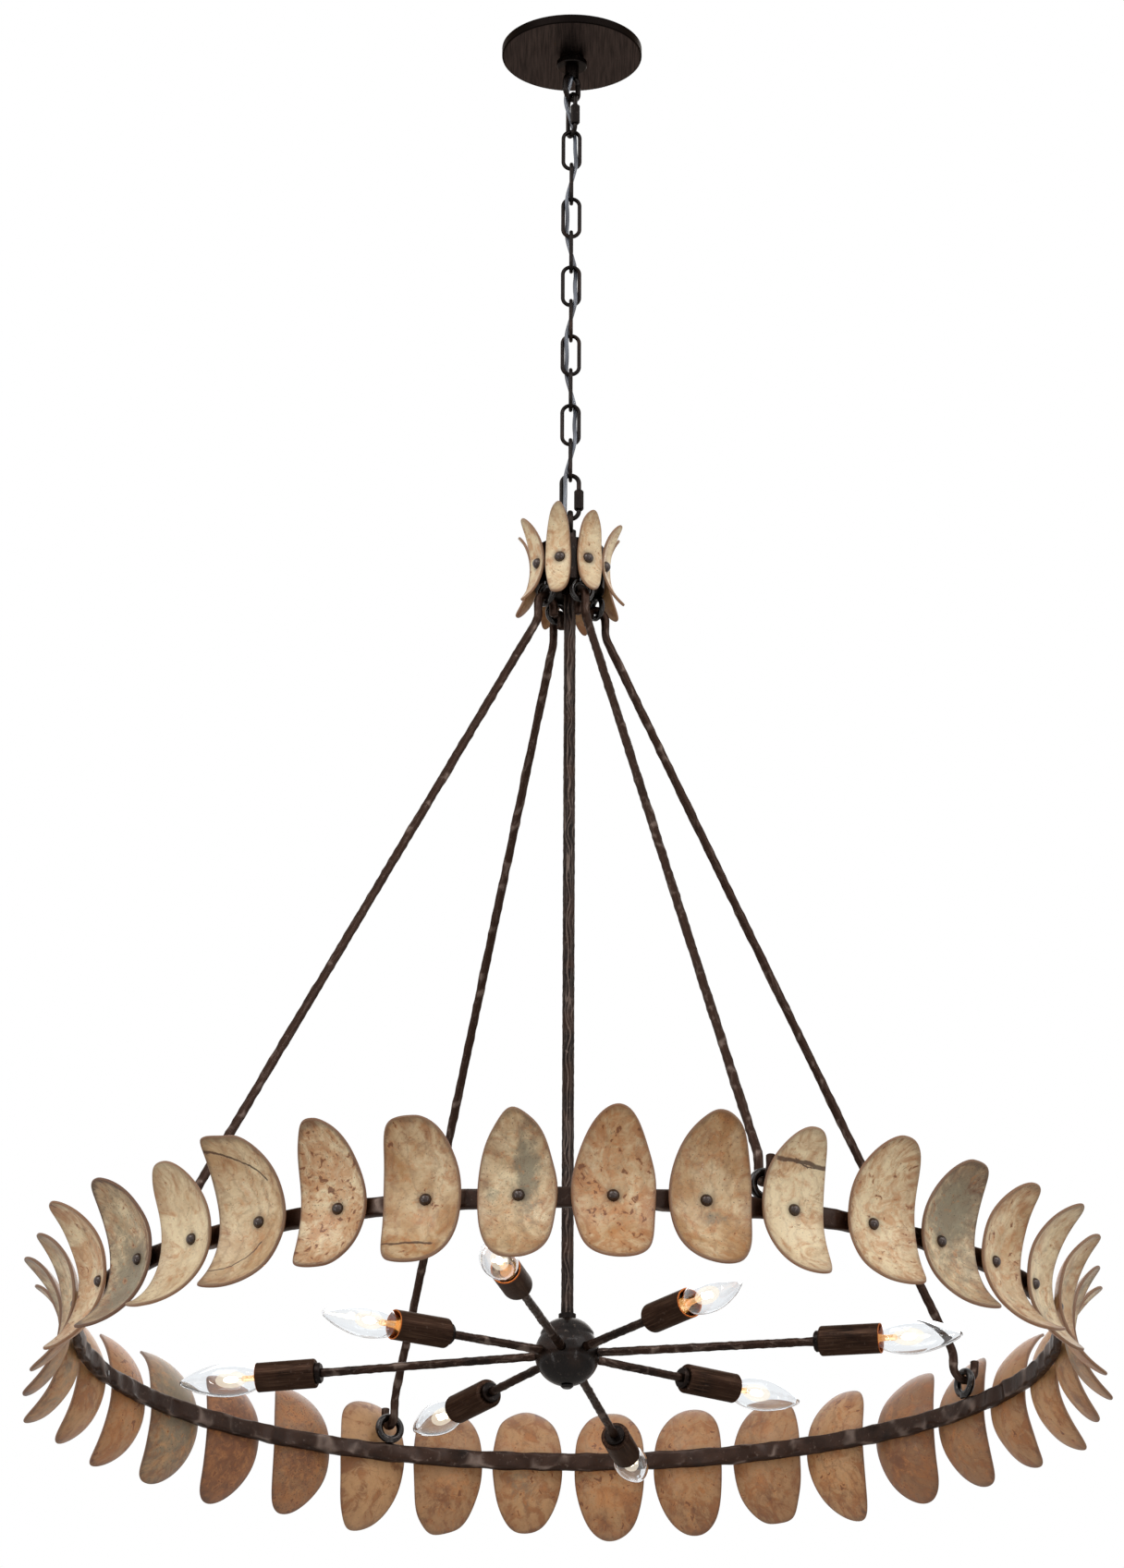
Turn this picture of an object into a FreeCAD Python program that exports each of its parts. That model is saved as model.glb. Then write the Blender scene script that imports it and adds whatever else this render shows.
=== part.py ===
import FreeCAD, Part
import math
import os

V = FreeCAD.Vector
UP = V(0, 0, 1)
CENTRE = V(0, 0, 0)

# Ring chandelier hung from a chain. Millimetres, +Z up, the viewer stands at -Y.
# The origin is the middle of the ceiling plate, on the ceiling plane.
# Bearings are degrees about Z from the side that faces the viewer, growing towards +X.

# General fits
seat_play = 0.2          # gap between pieces that lie on each other
running_play = 0.05      # radial play of a sliding fit
cut_past = 2.0           # how far a cutting tool passes its piece

# Ceiling plate and what holds it
canopy_diameter = 144.0
canopy_depth = 9.0
canopy_sheet = 1.2
canopy_corner = 1.0
crossbar_length = 108.0
crossbar_width = 20.0
crossbar_thickness = 2.0
box_screw_spacing = 88.9
box_screw_hole = 4.8
nipple_diameter = 10.0
nipple_bore = 6.6
nipple_rise = 12.0       # above the ceiling plane, into the ceiling box
nut_height = 4.0
nut_width = 15.0
earth_screw_place = 28.0
earth_screw_shank = 4.0
earth_screw_head = 7.0
earth_screw_head_height = 2.6
earth_screw_length = 7.0

# Threaded loop and its ring nut
barrel_diameter = 24.0
barrel_bore = 7.0
collar_diameter = 31.0
collar_height = 12.0
collar_step = 3.0
loop_width = 23.5
loop_wire = 5.5
loop_height = 33.0
loop_neck = 14.0
loop_drop = 7.0          # ring nut's foot to the top of the loop
loop_bearing = 135.0

# Quick links
quick_height = 52.0
quick_width = 21.7
quick_wire = 4.6
quick_gap = 5.0
quick_stub = 3.0
sleeve_length = 21.5
sleeve_width = 8.2
sleeve_chamfer = 1.2
sleeve_rest = 1.0        # from the lower bend to the closed sleeve
upper_quick_bearing = 25.0
lower_quick_bearing = 90.0

# Chain
link_count = 10
link_pitch = 39.05       # inside length of a link
link_width = 20.7
link_wire = 4.0

# Supply cable that is woven through the links
cable_diameter = 4.2
cable_reach = 3.4        # off the axis where it crosses a link's window
cable_corner = 5.2       # off the axis, both ways, where it passes between two links
bend_trim_share = 0.45   # of the shorter run beside a bend, taken by the bend's arc
straight_turn = 0.0001   # radians under which two runs count as one line

# Loop on top of the crown
hub_loop_width = 24.0
hub_loop_wire = 6.0
hub_loop_height = 28.0
hub_neck = 12.0
hub_nut_width = 17.0
hub_nut_height = 7.0
hub_neck_length = 15.0
hub_bore = 7.5
hub_loop_bearing = 0.0

# Crown: a closed cup with eyes below it and slim shells around it
cup_radius = 34.0
cup_height = 44.0
cup_wall = 2.5
lid_thickness = 3.0
eye_top_radius = 10.0
eye_top_wire = 6.0
eye_top_place = 31.0
weld_bite = 1.2
weld_radius = 4.4

# Rods from the crown to the ring
rod_diameter = 9.3
rod_turns = (-49.0, 22.3, 121.0, 203.5)
rod_top_straight = 17.0
rod_foot_straight = 14.0
hook_foot_radius = 12.5
hook_tip = 8.0
rod_bend = 22.0

# Ring
ring_radius = 457.0
ring_height = 19.0
ring_thickness = 10.0
ring_corner = 2.6
ring_drop = 1376.0       # ceiling plane to the middle of the bar
eye_foot_radius = 11.45
eye_foot_wire = 7.6
eye_foot_inset = 4.5     # inside the bar's centre line
eye_foot_place = ring_radius - eye_foot_inset

# Shells
shell_count = 36
shell_first = 5.0
shell_thickness = 3.0
shell_width = 70.0
shell_half_height = 65.0
shell_ball_margin = 5.0  # the hollow ball reaches this far past a shell's tip
shell_ball = shell_half_height + shell_ball_margin
shell_hole = 5.2
shell_node_count = 4
rivet_shank = 5.0
rivet_head = 11.0
rivet_head_height = 4.6
rivet_blind = 2.0        # bar left uncut behind the shank

crown_count = 8
crown_first = -15.7
crown_ball = 60.0
crown_thickness = 2.6
crown_width = 26.0
crown_half_height = 45.0
crown_drop = 22.0        # lid top to the rivets

# Outline of each ring shell, from the one on the viewer's right of centre, turning right.
# Shares of the nominal width left and right of the rivet, of the half height above and
# below it, and how square the upper and lower ends are.
shell_shares = (
    (0.98, 1.02, 1.01, 0.97, 0.05, 0.35),
    (0.94, 1.02, 1.02, 1.02, 0.05, 0.15),
    (0.86, 0.98, 0.96, 1.05, 0.10, 0.20),
    (0.90, 1.04, 0.98, 0.90, 0.15, 0.00),
    (0.98, 1.00, 0.98, 1.00, 0.10, 0.00),
    (0.92, 0.90, 0.98, 1.02, 0.00, 0.05),
    (0.80, 0.88, 0.99, 0.98, 0.05, 0.10),
    (1.00, 0.92, 0.98, 1.00, 0.10, 0.00),
    (0.94, 0.96, 0.92, 0.98, 0.00, 0.10),
    (0.90, 1.00, 1.00, 0.96, 0.10, 0.05),
    (0.96, 0.92, 0.94, 1.02, 0.00, 0.05),
    (0.92, 0.98, 1.02, 0.98, 0.10, 0.00),
    (0.90, 0.98, 0.94, 1.00, 0.00, 0.10),
    (0.98, 1.00, 0.98, 0.96, 0.05, 0.05),
    (0.96, 0.90, 1.04, 1.00, 0.35, 0.10),
    (1.02, 0.98, 1.00, 1.00, 0.15, 0.15),
    (1.00, 1.02, 1.00, 0.99, 0.25, 0.00),
    (1.02, 1.00, 1.00, 1.03, 0.30, 0.00),
    (1.00, 1.02, 0.96, 0.97, 0.30, 0.10),
    (1.00, 1.00, 0.98, 1.02, 0.25, 0.00),
    (0.94, 0.98, 1.00, 1.02, 0.45, 0.05),
    (0.96, 0.90, 1.02, 0.98, 0.05, 0.10),
    (0.98, 0.94, 0.98, 1.00, 0.10, 0.10),
    (0.92, 0.98, 1.00, 0.98, 0.00, 0.15),
    (0.98, 0.90, 0.96, 1.00, 0.10, 0.05),
    (1.00, 0.96, 1.00, 0.98, 0.15, 0.00),
    (0.94, 0.98, 0.98, 1.02, 0.00, 0.10),
    (0.96, 0.94, 1.00, 0.98, 0.10, 0.00),
    (0.90, 1.00, 0.96, 0.98, 0.05, 0.05),
    (0.94, 0.98, 0.98, 1.00, 0.00, 0.10),
    (0.98, 1.00, 0.98, 0.98, 0.05, 0.00),
    (0.92, 0.86, 0.94, 1.04, 0.05, 0.05),
    (1.04, 0.92, 0.98, 1.00, 0.10, 0.10),
    (1.04, 0.88, 1.02, 0.90, 0.20, 0.05),
    (1.02, 0.96, 0.98, 1.00, 0.15, 0.45),
    (0.94, 0.98, 0.97, 1.00, 0.05, 0.10),
)
crown_shares = (
    (1.04, 0.98, 1.10, 1.08, 0.00, 0.00),
    (1.00, 1.02, 0.98, 0.90, 0.05, 0.00),
    (0.96, 0.98, 0.96, 1.00, 0.00, 0.05),
    (0.98, 1.00, 1.02, 0.98, 0.05, 0.00),
    (1.02, 0.96, 0.98, 1.04, 0.00, 0.05),
    (1.00, 1.00, 1.00, 0.96, 0.05, 0.00),
    (0.96, 1.02, 0.96, 1.00, 0.00, 0.05),
    (0.98, 0.98, 1.00, 0.98, 0.05, 0.00),
)
round_pull_share = 0.552   # a quarter's handles, in parts of its half sizes, for an ellipse
square_pull_share = 0.36   # added to that at a squareness of one

# Stem and ball
stem_diameter = 12.0
stem_bore = 7.0
stem_reach = 4.0         # into the crown cup, above its floor
stem_collar_diameter = 16.4
stem_collar_height = 5.0
ball_radius = 30.4
ball_drop = 12.5         # ring mid plane to the ball's centre
ball_wall = 2.4
ball_rim_radius = 25.0
ball_lid_height = 16.0
ball_lid_edge = 3.0
ball_top_flat = 9.0
ball_lid_bulge_share = 0.72
finial_diameter = 12.0
finial_height = 2.6

# Lamp arms
arm_turns = (-10.4, 36.0, 75.0, 123.5, 169.0, 214.0, 258.0, 303.5)
arm_count = len(arm_turns)
arm_diameter = 8.8
arm_bore = 5.0
long_arm = 242.0         # ball centre to the back of the socket cover
short_arm = 133.0
arm_droops = (-0.6, 1.9, -1.0, -1.3, -4.0, -3.5, -1.3, -0.4)
cover_length = 57.5
cover_diameter = 28.0
cover_wall = 1.4
arm_nut_diameter = 20.0
arm_nut_height = 5.0
holder_diameter = 21.0
holder_start = 6.0
holder_length = 40.0
holder_bore_depth = 22.0
bulb_cap_diameter = 12.0
bulb_cap_taper = 3.0
bulb_glass = 33.0
bulb_glass_wall = 1.0
bulb_neck = 15.0
bulb_neck_at_mouth = 21.0
bulb_reach = 76.0        # cover mouth to the bulb's tip
bulb_tip = 2.2
bulb_belly_share = 0.36  # widest place, as a share of the reach
bulb_taper_share = 0.62  # how far to the tip, and how wide still, its slope is set

# Heights worked out from the stack
collar_top = -canopy_depth - seat_play
loop_foot = collar_top - collar_height - loop_drop - loop_height
upper_quick_top = loop_foot + loop_wire + quick_wire + seat_play
upper_quick_foot = upper_quick_top - quick_height
first_link_top = upper_quick_foot + quick_wire + seat_play + link_wire
last_link_foot = first_link_top - link_count * (link_pitch - seat_play) - 2 * link_wire - seat_play
lower_quick_top = last_link_foot + link_wire + seat_play + quick_wire
lower_quick_foot = lower_quick_top - quick_height
hub_loop_top = lower_quick_foot + quick_wire + seat_play + hub_loop_wire
hub_loop_foot = hub_loop_top - hub_loop_height
lid_top = hub_loop_foot - hub_neck_length
cup_foot = lid_top - cup_height
crown_level = lid_top - crown_drop
ring_level = -ring_drop
ring_top = ring_level + ring_height / 2
ball_level = ring_level - ball_drop
stem_foot = ball_level + math.sqrt(ball_radius ** 2 - ball_rim_radius ** 2) + ball_lid_height


def direction(bearing):
    angle = math.radians(bearing)
    return V(math.sin(angle), -math.cos(angle), 0)


def turned(shape, bearing):
    """The shape, modelled with +X outward, turned to face a bearing."""
    copy = shape.copy()
    copy.rotate(CENTRE, UP, bearing - 90.0)
    return copy


def lifted(shape, height):
    copy = shape.copy()
    copy.translate(V(0, 0, height))
    return copy


def fused(shapes):
    """One solid from pieces that share faces or volume."""
    body = shapes[0]
    if len(shapes) > 1:
        body = shapes[0].multiFuse(shapes[1:])
    return body.removeSplitter()


def spun(corners):
    """A solid of revolution about Z from (radius, height) corners."""
    points = [V(radius, 0, height) for radius, height in corners]
    face = Part.Face(Part.makePolygon(points + [points[0]]))
    return face.revolve(CENTRE, UP, 360)


def spun_edges(edges):
    """A solid of revolution about Z from edges in the XZ plane."""
    return Part.Face(Part.Wire(edges)).revolve(CENTRE, UP, 360)


def tube(outer, bore, low, high):
    body = Part.makeCylinder(outer / 2, high - low, V(0, 0, low))
    if bore:
        body = body.cut(Part.makeCylinder(bore / 2, high - low + 2 * cut_past, V(0, 0, low - cut_past)))
    return body


def hexagon(width, low, high):
    corner = width / math.sqrt(3)
    angles = [math.pi * k / 3 for k in range(7)]
    points = [V(corner * math.cos(angle), corner * math.sin(angle), low) for angle in angles]
    return Part.Face(Part.makePolygon(points)).extrude(V(0, 0, high - low))


def export(name, shapes):
    parts = shapes if isinstance(shapes, list) else [shapes]
    solids = [solid for part in parts for solid in part.Solids]
    shape = solids[0] if len(solids) == 1 else Part.makeCompound(solids)
    shape.exportStep("parts/" + name + ".step")
    return shape


# Ceiling fixing

def crossbar():
    bar = Part.makeBox(crossbar_length, crossbar_width, crossbar_thickness,
                       V(-crossbar_length / 2, -crossbar_width / 2, -crossbar_thickness))
    holes = [Part.makeCylinder(box_screw_hole / 2, crossbar_thickness + 2 * cut_past,
                               V(side * box_screw_spacing / 2, 0, -crossbar_thickness - cut_past))
             for side in (-1, 1)]
    holes.append(tube(nipple_diameter + 2 * running_play, 0, -crossbar_thickness - cut_past, cut_past))
    earth = tube(earth_screw_shank + 2 * running_play, 0, -crossbar_thickness - cut_past, cut_past)
    earth.translate(V(earth_screw_place, 0, 0))
    return bar.cut(Part.makeCompound(holes + [earth]))


def nipple():
    return tube(nipple_diameter, nipple_bore, -canopy_depth - collar_height / 2, nipple_rise)


def nipple_nuts():
    nut = hexagon(nut_width, 0, nut_height).cut(
        tube(nipple_diameter + 2 * running_play, 0, -cut_past, nut_height + cut_past))
    return [nut, lifted(nut, -crossbar_thickness - nut_height)]


def earth_screw():
    head_top = -crossbar_thickness
    head = hexagon(earth_screw_head, head_top - earth_screw_head_height, head_top)
    shank = tube(earth_screw_shank, 0, head_top, head_top + earth_screw_length)
    screw = fused([head, shank])
    screw.translate(V(earth_screw_place, 0, 0))
    return screw


def canopy():
    radius = canopy_diameter / 2
    floor = -canopy_depth
    hole = barrel_diameter / 2 + seat_play
    inner = radius - canopy_sheet
    body = spun([(hole, floor), (radius, floor), (radius, 0), (inner, 0),
                 (inner, floor + canopy_sheet), (hole, floor + canopy_sheet)])
    circles = [edge for edge in body.Edges if edge.Closed and edge.BoundBox.ZMax < floor / 2]
    rim = [edge for edge in circles if abs(edge.Curve.Radius - radius) < seat_play]
    return body.makeFillet(canopy_corner, rim)


def canopy_collar():
    bore = barrel_diameter / 2 + running_play
    radius = collar_diameter / 2
    foot = collar_top - collar_height
    slope = radius - collar_step
    return spun([(bore, collar_top), (slope, collar_top), (slope, collar_top - collar_height / 3),
                 (radius, collar_top - collar_height / 2), (radius, foot + collar_step / 3),
                 (radius - collar_step / 3, foot), (bore, foot)])


# Loops and links

def half_ring(radius, wire, upper):
    """Half of a round wire ring in the XZ plane, about the origin."""
    circle = Part.makeCircle(wire / 2, V(radius, 0, 0), V(0, 0, 1))
    face = Part.Face(Part.Wire(circle))
    return face.revolve(CENTRE, V(0, -1 if upper else 1, 0), 180)


def leg(side, radius, wire, low, high):
    return Part.makeCylinder(wire / 2, high - low, V(side * radius, 0, low))


def racetrack(width, height, wire):
    """A closed link in the XZ plane, its foot at Z zero."""
    radius = (width - wire) / 2
    low = width / 2
    high = height - width / 2
    pieces = [lifted(half_ring(radius, wire, False), low), lifted(half_ring(radius, wire, True), high)]
    pieces += [leg(side, radius, wire, low, high) for side in (-1, 1)]
    return fused(pieces)


def ceiling_loop():
    shoulder = collar_top - collar_height
    link = racetrack(loop_width, loop_height, loop_wire)
    link = lifted(turned(link, loop_bearing), loop_foot)
    barrel = spun([(0, shoulder), (barrel_diameter / 2, shoulder),
                   (barrel_diameter / 2, -crossbar_thickness - nut_height - seat_play),
                   (0, -crossbar_thickness - nut_height - seat_play)])
    neck_foot = loop_foot + loop_height - loop_wire
    neck = spun([(0, neck_foot), (loop_neck / 2, neck_foot), (loop_neck / 2, shoulder), (0, shoulder)])
    bore = tube(barrel_bore, 0, neck_foot - cut_past, 0)
    seat = tube(nipple_diameter + 2 * running_play, 0, -canopy_depth - collar_height / 2 - seat_play, 0)
    return fused([link, barrel, neck]).cut(Part.makeCompound([bore, seat]))


def quick_link():
    """An open link in the XZ plane, its foot at Z zero and the gap on the +X side."""
    radius = (quick_width - quick_wire) / 2
    low = quick_width / 2
    high = quick_height - quick_width / 2
    stub = low + sleeve_rest + quick_stub
    pieces = [lifted(half_ring(radius, quick_wire, False), low),
              lifted(half_ring(radius, quick_wire, True), high),
              leg(-1, radius, quick_wire, low, high),
              leg(1, radius, quick_wire, low, stub),
              leg(1, radius, quick_wire, stub + quick_gap, high)]
    return fused(pieces)


def quick_sleeve():
    low = quick_width / 2 + sleeve_rest
    high = low + sleeve_length
    corner = sleeve_width / math.sqrt(3)
    ends = spun([(0, low), (corner - sleeve_chamfer, low), (corner, low + sleeve_chamfer),
                 (corner, high - sleeve_chamfer), (corner - sleeve_chamfer, high), (0, high)])
    bore = tube(quick_wire + 2 * running_play, 0, low - cut_past, high + cut_past)
    sleeve = hexagon(sleeve_width, low, high).common(ends).cut(bore)
    sleeve.translate(V((quick_width - quick_wire) / 2, 0, 0))
    return sleeve


def place_link(shape, bearing, foot):
    return lifted(turned(shape, bearing), foot)


def chain_link(index):
    link = racetrack(link_width, link_pitch + 2 * link_wire, link_wire)
    foot = first_link_top - index * (link_pitch - seat_play) - link_pitch - 2 * link_wire
    bearing = 90.0 if index % 2 == 0 else 0.0
    return place_link(link, bearing, foot)


# The cable's route. Rows are across X, across Y and height, chosen by hand: the first
# rows are measured from the foot of the ceiling loop, the last from the foot of the
# lower quick link. Between them it turns a quarter about the chain at every link.
cable_head_route = (
    (0.0, 0.0, 59.0),
    (0.1, 0.0, 44.0),
    (-0.1, 0.0, 30.0),
    (-2.4, 0.6, 18.5),
    (-6.1, 1.5, 8.0),
    (-6.2, 2.0, -2.0),
    (-1.6, 3.4, -16.0),
    (3.8, 5.4, -37.5),
)
cable_foot_route = (
    (-4.9, -4.7, 32.0),
    (-5.3, -5.1, 16.0),
    (-5.5, -5.3, 3.0),
    (-1.6, -1.7, -7.0),
    (0.0, 0.1, -17.0),
    (0.1, 0.0, -27.0),
    (0.0, 0.0, -37.0),
)


def cable_points():
    step = link_pitch - seat_play
    side = (V(1, 0, 0), V(0, -1, 0), V(-1, 0, 0), V(0, 1, 0))
    middle = first_link_top - (link_pitch + 2 * link_wire) / 2
    points = [V(x, y, loop_foot + height) for x, y, height in cable_head_route]
    for index in range(link_count):
        here = side[index % len(side)]
        after = side[(index + 1) % len(side)]
        points.append(here * cable_reach + UP * (middle - index * step))
        points.append((here + after) * cable_corner + UP * (middle - (index + 0.5) * step))
    points += [V(x, y, lower_quick_foot + height) for x, y, height in cable_foot_route]
    return points


def rounded_path(points):
    """Straight runs joined by tangent arcs at each inner point."""
    edges = []
    start = points[0]
    radii = []
    for before, here, after in zip(points, points[1:], points[2:]):
        arrive = here - before
        leave = after - here
        turn = arrive.getAngle(leave)
        if turn < straight_turn:
            continue
        trim = bend_trim_share * min(arrive.Length, leave.Length)
        radius = trim / math.tan(turn / 2)
        radii.append(radius)
        first = here - arrive.normalize() * trim
        last = here + leave.normalize() * trim
        inward = (first + last) * 0.5 - here
        sagitta = radius * (1 / math.cos(turn / 2) - 1)
        middle = here + inward.normalize() * sagitta
        edges.append(Part.LineSegment(start, first).toShape())
        edges.append(Part.Arc(first, middle, last).toShape())
        start = last
    edges.append(Part.LineSegment(start, points[-1]).toShape())
    return Part.Wire(edges), radii


def piped(path, diameter):
    start = path.Edges[0]
    profile = Part.Wire(Part.makeCircle(diameter / 2, start.valueAt(start.FirstParameter),
                                        start.tangentAt(start.FirstParameter)))
    return path.makePipeShell([profile], True, False)


def supply_cable():
    path, radii = rounded_path(cable_points())
    cable = piped(path, cable_diameter)
    area = math.pi * cable_diameter ** 2 / 4
    print("cable length", round(path.Length, 1), "tightest", round(min(radii), 1),
          "volume ratio", round(cable.Volume / (area * path.Length), 4))
    return cable


# Crown

def hub_loop():
    link = lifted(racetrack(hub_loop_width, hub_loop_height, hub_loop_wire), hub_loop_foot)
    link = turned(link, hub_loop_bearing)
    shoulder = hub_loop_foot + hub_loop_wire
    foot = lid_top - lid_thickness - nut_height
    neck = tube(hub_neck, 0, foot, shoulder)
    bore = tube(hub_bore, 0, foot - cut_past, shoulder + cut_past)
    return fused([link, neck]).cut(bore)


def hub_nuts():
    hole = tube(hub_neck + 2 * running_play, 0, lid_top - cup_height, hub_loop_foot)
    upper = hexagon(hub_nut_width, lid_top, lid_top + hub_nut_height).cut(hole)
    lower = hexagon(hub_nut_width, lid_top - lid_thickness - nut_height, lid_top - lid_thickness).cut(hole)
    return [upper, lower]


def crown_lid():
    hole = hub_neck / 2 + running_play
    radius = cup_radius - cup_wall - seat_play
    return spun([(hole, lid_top - lid_thickness), (radius, lid_top - lid_thickness),
                 (radius, lid_top), (hole, lid_top)])


def crown_cup():
    """A cup with a step inside its rim for the lid."""
    hole = stem_diameter / 2 + running_play
    inner = cup_radius - cup_wall * 2
    ledge = lid_top - lid_thickness
    step = cup_radius - cup_wall
    floor = cup_foot + cup_wall
    cup = spun([(hole, cup_foot), (cup_radius, cup_foot), (cup_radius, lid_top), (step, lid_top),
                (step, ledge), (inner, ledge), (inner, floor), (hole, floor)])
    bore = Part.makeCylinder(shell_hole / 2, cup_wall * 3, V(inner - cut_past, 0, crown_level), V(1, 0, 0))
    holes = [turned(bore, crown_first + index * 360.0 / crown_count) for index in range(crown_count)]
    return cup.cut(Part.makeCompound(holes))


def standing_eye(radius, wire, place, level, weld_low, weld_high):
    """A ring that stands across the outward direction, with its weld bead."""
    ring = Part.makeTorus(radius, wire / 2, V(place, 0, level), V(1, 0, 0))
    bead = Part.makeCylinder(weld_radius, weld_high - weld_low, V(place, 0, weld_low))
    return fused([ring, bead])


def top_eye_level():
    return cup_foot - eye_top_radius - eye_top_wire / 2 + weld_bite


def foot_eye_level():
    return ring_top + eye_foot_radius + eye_foot_wire / 2 - weld_bite


def crown_eyes():
    level = top_eye_level()
    eye = standing_eye(eye_top_radius, eye_top_wire, eye_top_place, level,
                       cup_foot - eye_top_wire / 2, cup_foot + weld_bite)
    block = Part.makeCylinder(cup_radius * 2, cup_height, V(0, 0, cup_foot))
    return [turned(eye.cut(block), bearing) for bearing in rod_turns]


def ring_eyes(bar):
    level = foot_eye_level()
    eye = standing_eye(eye_foot_radius, eye_foot_wire, eye_foot_place, level,
                       ring_top - weld_bite, ring_top + eye_foot_wire / 2)
    return [turned(eye, bearing).cut(bar) for bearing in rod_turns]


def rod():
    """A hammered rod in the XZ plane with a hook at each end."""
    radius = rod_diameter / 2
    top_hole = eye_top_radius - eye_top_wire / 2
    foot_hole = eye_foot_radius - eye_foot_wire / 2
    top_hook = top_eye_level() - top_hole + radius + seat_play
    foot_hook = foot_eye_level() + foot_hole - radius - seat_play
    top_r = eye_top_radius
    foot_r = hook_foot_radius
    top_x = eye_top_place + top_r
    foot_x = eye_foot_place - foot_r
    top_z = top_hook - top_r
    foot_z = foot_hook + foot_r
    top_bend = V(top_x, 0, top_z - rod_top_straight)
    foot_bend = V(foot_x, 0, foot_z + rod_foot_straight)
    slope = (foot_bend - top_bend).normalize()
    drop = V(0, 0, -1)
    turn = drop.getAngle(slope)
    trim = rod_bend * math.tan(turn / 2)
    sagitta = rod_bend * (1 / math.cos(turn / 2) - 1)
    top_in = top_bend - drop * trim
    top_out = top_bend + slope * trim
    foot_in = foot_bend - slope * trim
    foot_out = foot_bend + drop * trim
    top_mid = top_bend + ((top_in + top_out) * 0.5 - top_bend).normalize() * sagitta
    foot_mid = foot_bend + ((foot_in + foot_out) * 0.5 - foot_bend).normalize() * sagitta
    tip_x = eye_top_place - top_r
    end_x = eye_foot_place + foot_r
    edges = [
        Part.LineSegment(V(tip_x, 0, top_z - hook_tip), V(tip_x, 0, top_z)).toShape(),
        Part.Arc(V(tip_x, 0, top_z), V(eye_top_place, 0, top_hook), V(top_x, 0, top_z)).toShape(),
        Part.LineSegment(V(top_x, 0, top_z), top_in).toShape(),
        Part.Arc(top_in, top_mid, top_out).toShape(),
        Part.LineSegment(top_out, foot_in).toShape(),
        Part.Arc(foot_in, foot_mid, foot_out).toShape(),
        Part.LineSegment(foot_out, V(foot_x, 0, foot_z)).toShape(),
        Part.Arc(V(foot_x, 0, foot_z), V(eye_foot_place, 0, foot_hook), V(end_x, 0, foot_z)).toShape(),
        Part.LineSegment(V(end_x, 0, foot_z), V(end_x, 0, foot_z + hook_tip)).toShape(),
    ]
    return piped(Part.Wire(edges), rod_diameter)


# Shells

def outline(shares, width, half_height):
    """A closed curve about the rivet: four quarter turns, each as square as its end's share."""
    left, right, rise, fall, top_square, foot_square = shares
    quarters = ((right, rise, top_square), (-left, rise, top_square),
                (-left, -fall, foot_square), (right, -fall, foot_square))
    edges = []
    for number, (side, end, square) in enumerate(quarters):
        pull = round_pull_share + square_pull_share * square
        across = V(0, side * width / 2, 0)
        along = V(0, 0, end * half_height)
        start, finish = (across, along) if number % 2 == 0 else (along, across)
        curve = Part.BezierCurve()
        curve.setPoles([start, start + finish * pull, finish + start * pull, finish])
        edges.append(curve.toShape())
    return Part.Face(Part.Wire(edges))


def curved_shell(shares, width, half_height, ball, thickness):
    """A piece of a round shell: its back at the origin, its hollow towards +X, its rim
    square to its faces, because the front is the back drawn in towards the ball's middle."""
    middle = V(ball, 0, 0)
    blank = outline(shares, width, half_height).extrude(V(ball + cut_past, 0, 0))
    blank.translate(V(-cut_past, 0, 0))
    round_faces = Part.makeSphere(ball, middle).common(blank).Faces
    back = [face for face in round_faces if isinstance(face.Surface, Part.Sphere)][0]
    front = back.copy()
    front.scale((ball - thickness) / ball, middle)
    rim = [Part.makeRuledSurface(outer, inner)
           for outer, inner in zip(back.OuterWire.Edges, front.OuterWire.Edges)]
    skin = Part.makeShell([back, front] + rim)
    skin.sewShape()
    plate = Part.makeSolid(skin)
    if plate.Volume < 0:
        plate = plate.reversed()
    bore = Part.makeCylinder(shell_hole / 2, thickness + 2 * cut_past, V(-cut_past, 0, 0), V(1, 0, 0))
    return plate.cut(bore)


def rivet(seat, length):
    """A domed rivet: the head's flat side at X equal to seat, the shank running to -X."""
    half = rivet_head / 2
    ball = (half ** 2 + rivet_head_height ** 2) / (2 * rivet_head_height)
    slant = math.asin(half / ball) / 2
    crown = V(0, 0, rivet_head_height)
    side = crown + V(ball * math.sin(slant), 0, ball * math.cos(slant) - ball)
    edges = [Part.Arc(V(half, 0, 0), side, crown).toShape(),
             Part.LineSegment(crown, V(0, 0, -length)).toShape(),
             Part.LineSegment(V(0, 0, -length), V(rivet_shank / 2, 0, -length)).toShape(),
             Part.LineSegment(V(rivet_shank / 2, 0, -length), V(rivet_shank / 2, 0, 0)).toShape(),
             Part.LineSegment(V(rivet_shank / 2, 0, 0), V(half, 0, 0)).toShape()]
    body = spun_edges(edges)
    body.rotate(CENTRE, V(0, 1, 0), 90)
    body.translate(V(seat, 0, 0))
    return body


def head_seat(ball, thickness):
    """How far the head's flat side stands off the shell's back, in a round hollow."""
    inner = ball - thickness
    return thickness + inner - math.sqrt(inner ** 2 - (rivet_head / 2) ** 2)


def ring_place(index):
    return shell_first + index * 360.0 / shell_count


def set_out(shape, distance, level, bearing):
    copy = shape.copy()
    copy.translate(V(distance, 0, level))
    return turned(copy, bearing)


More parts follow.
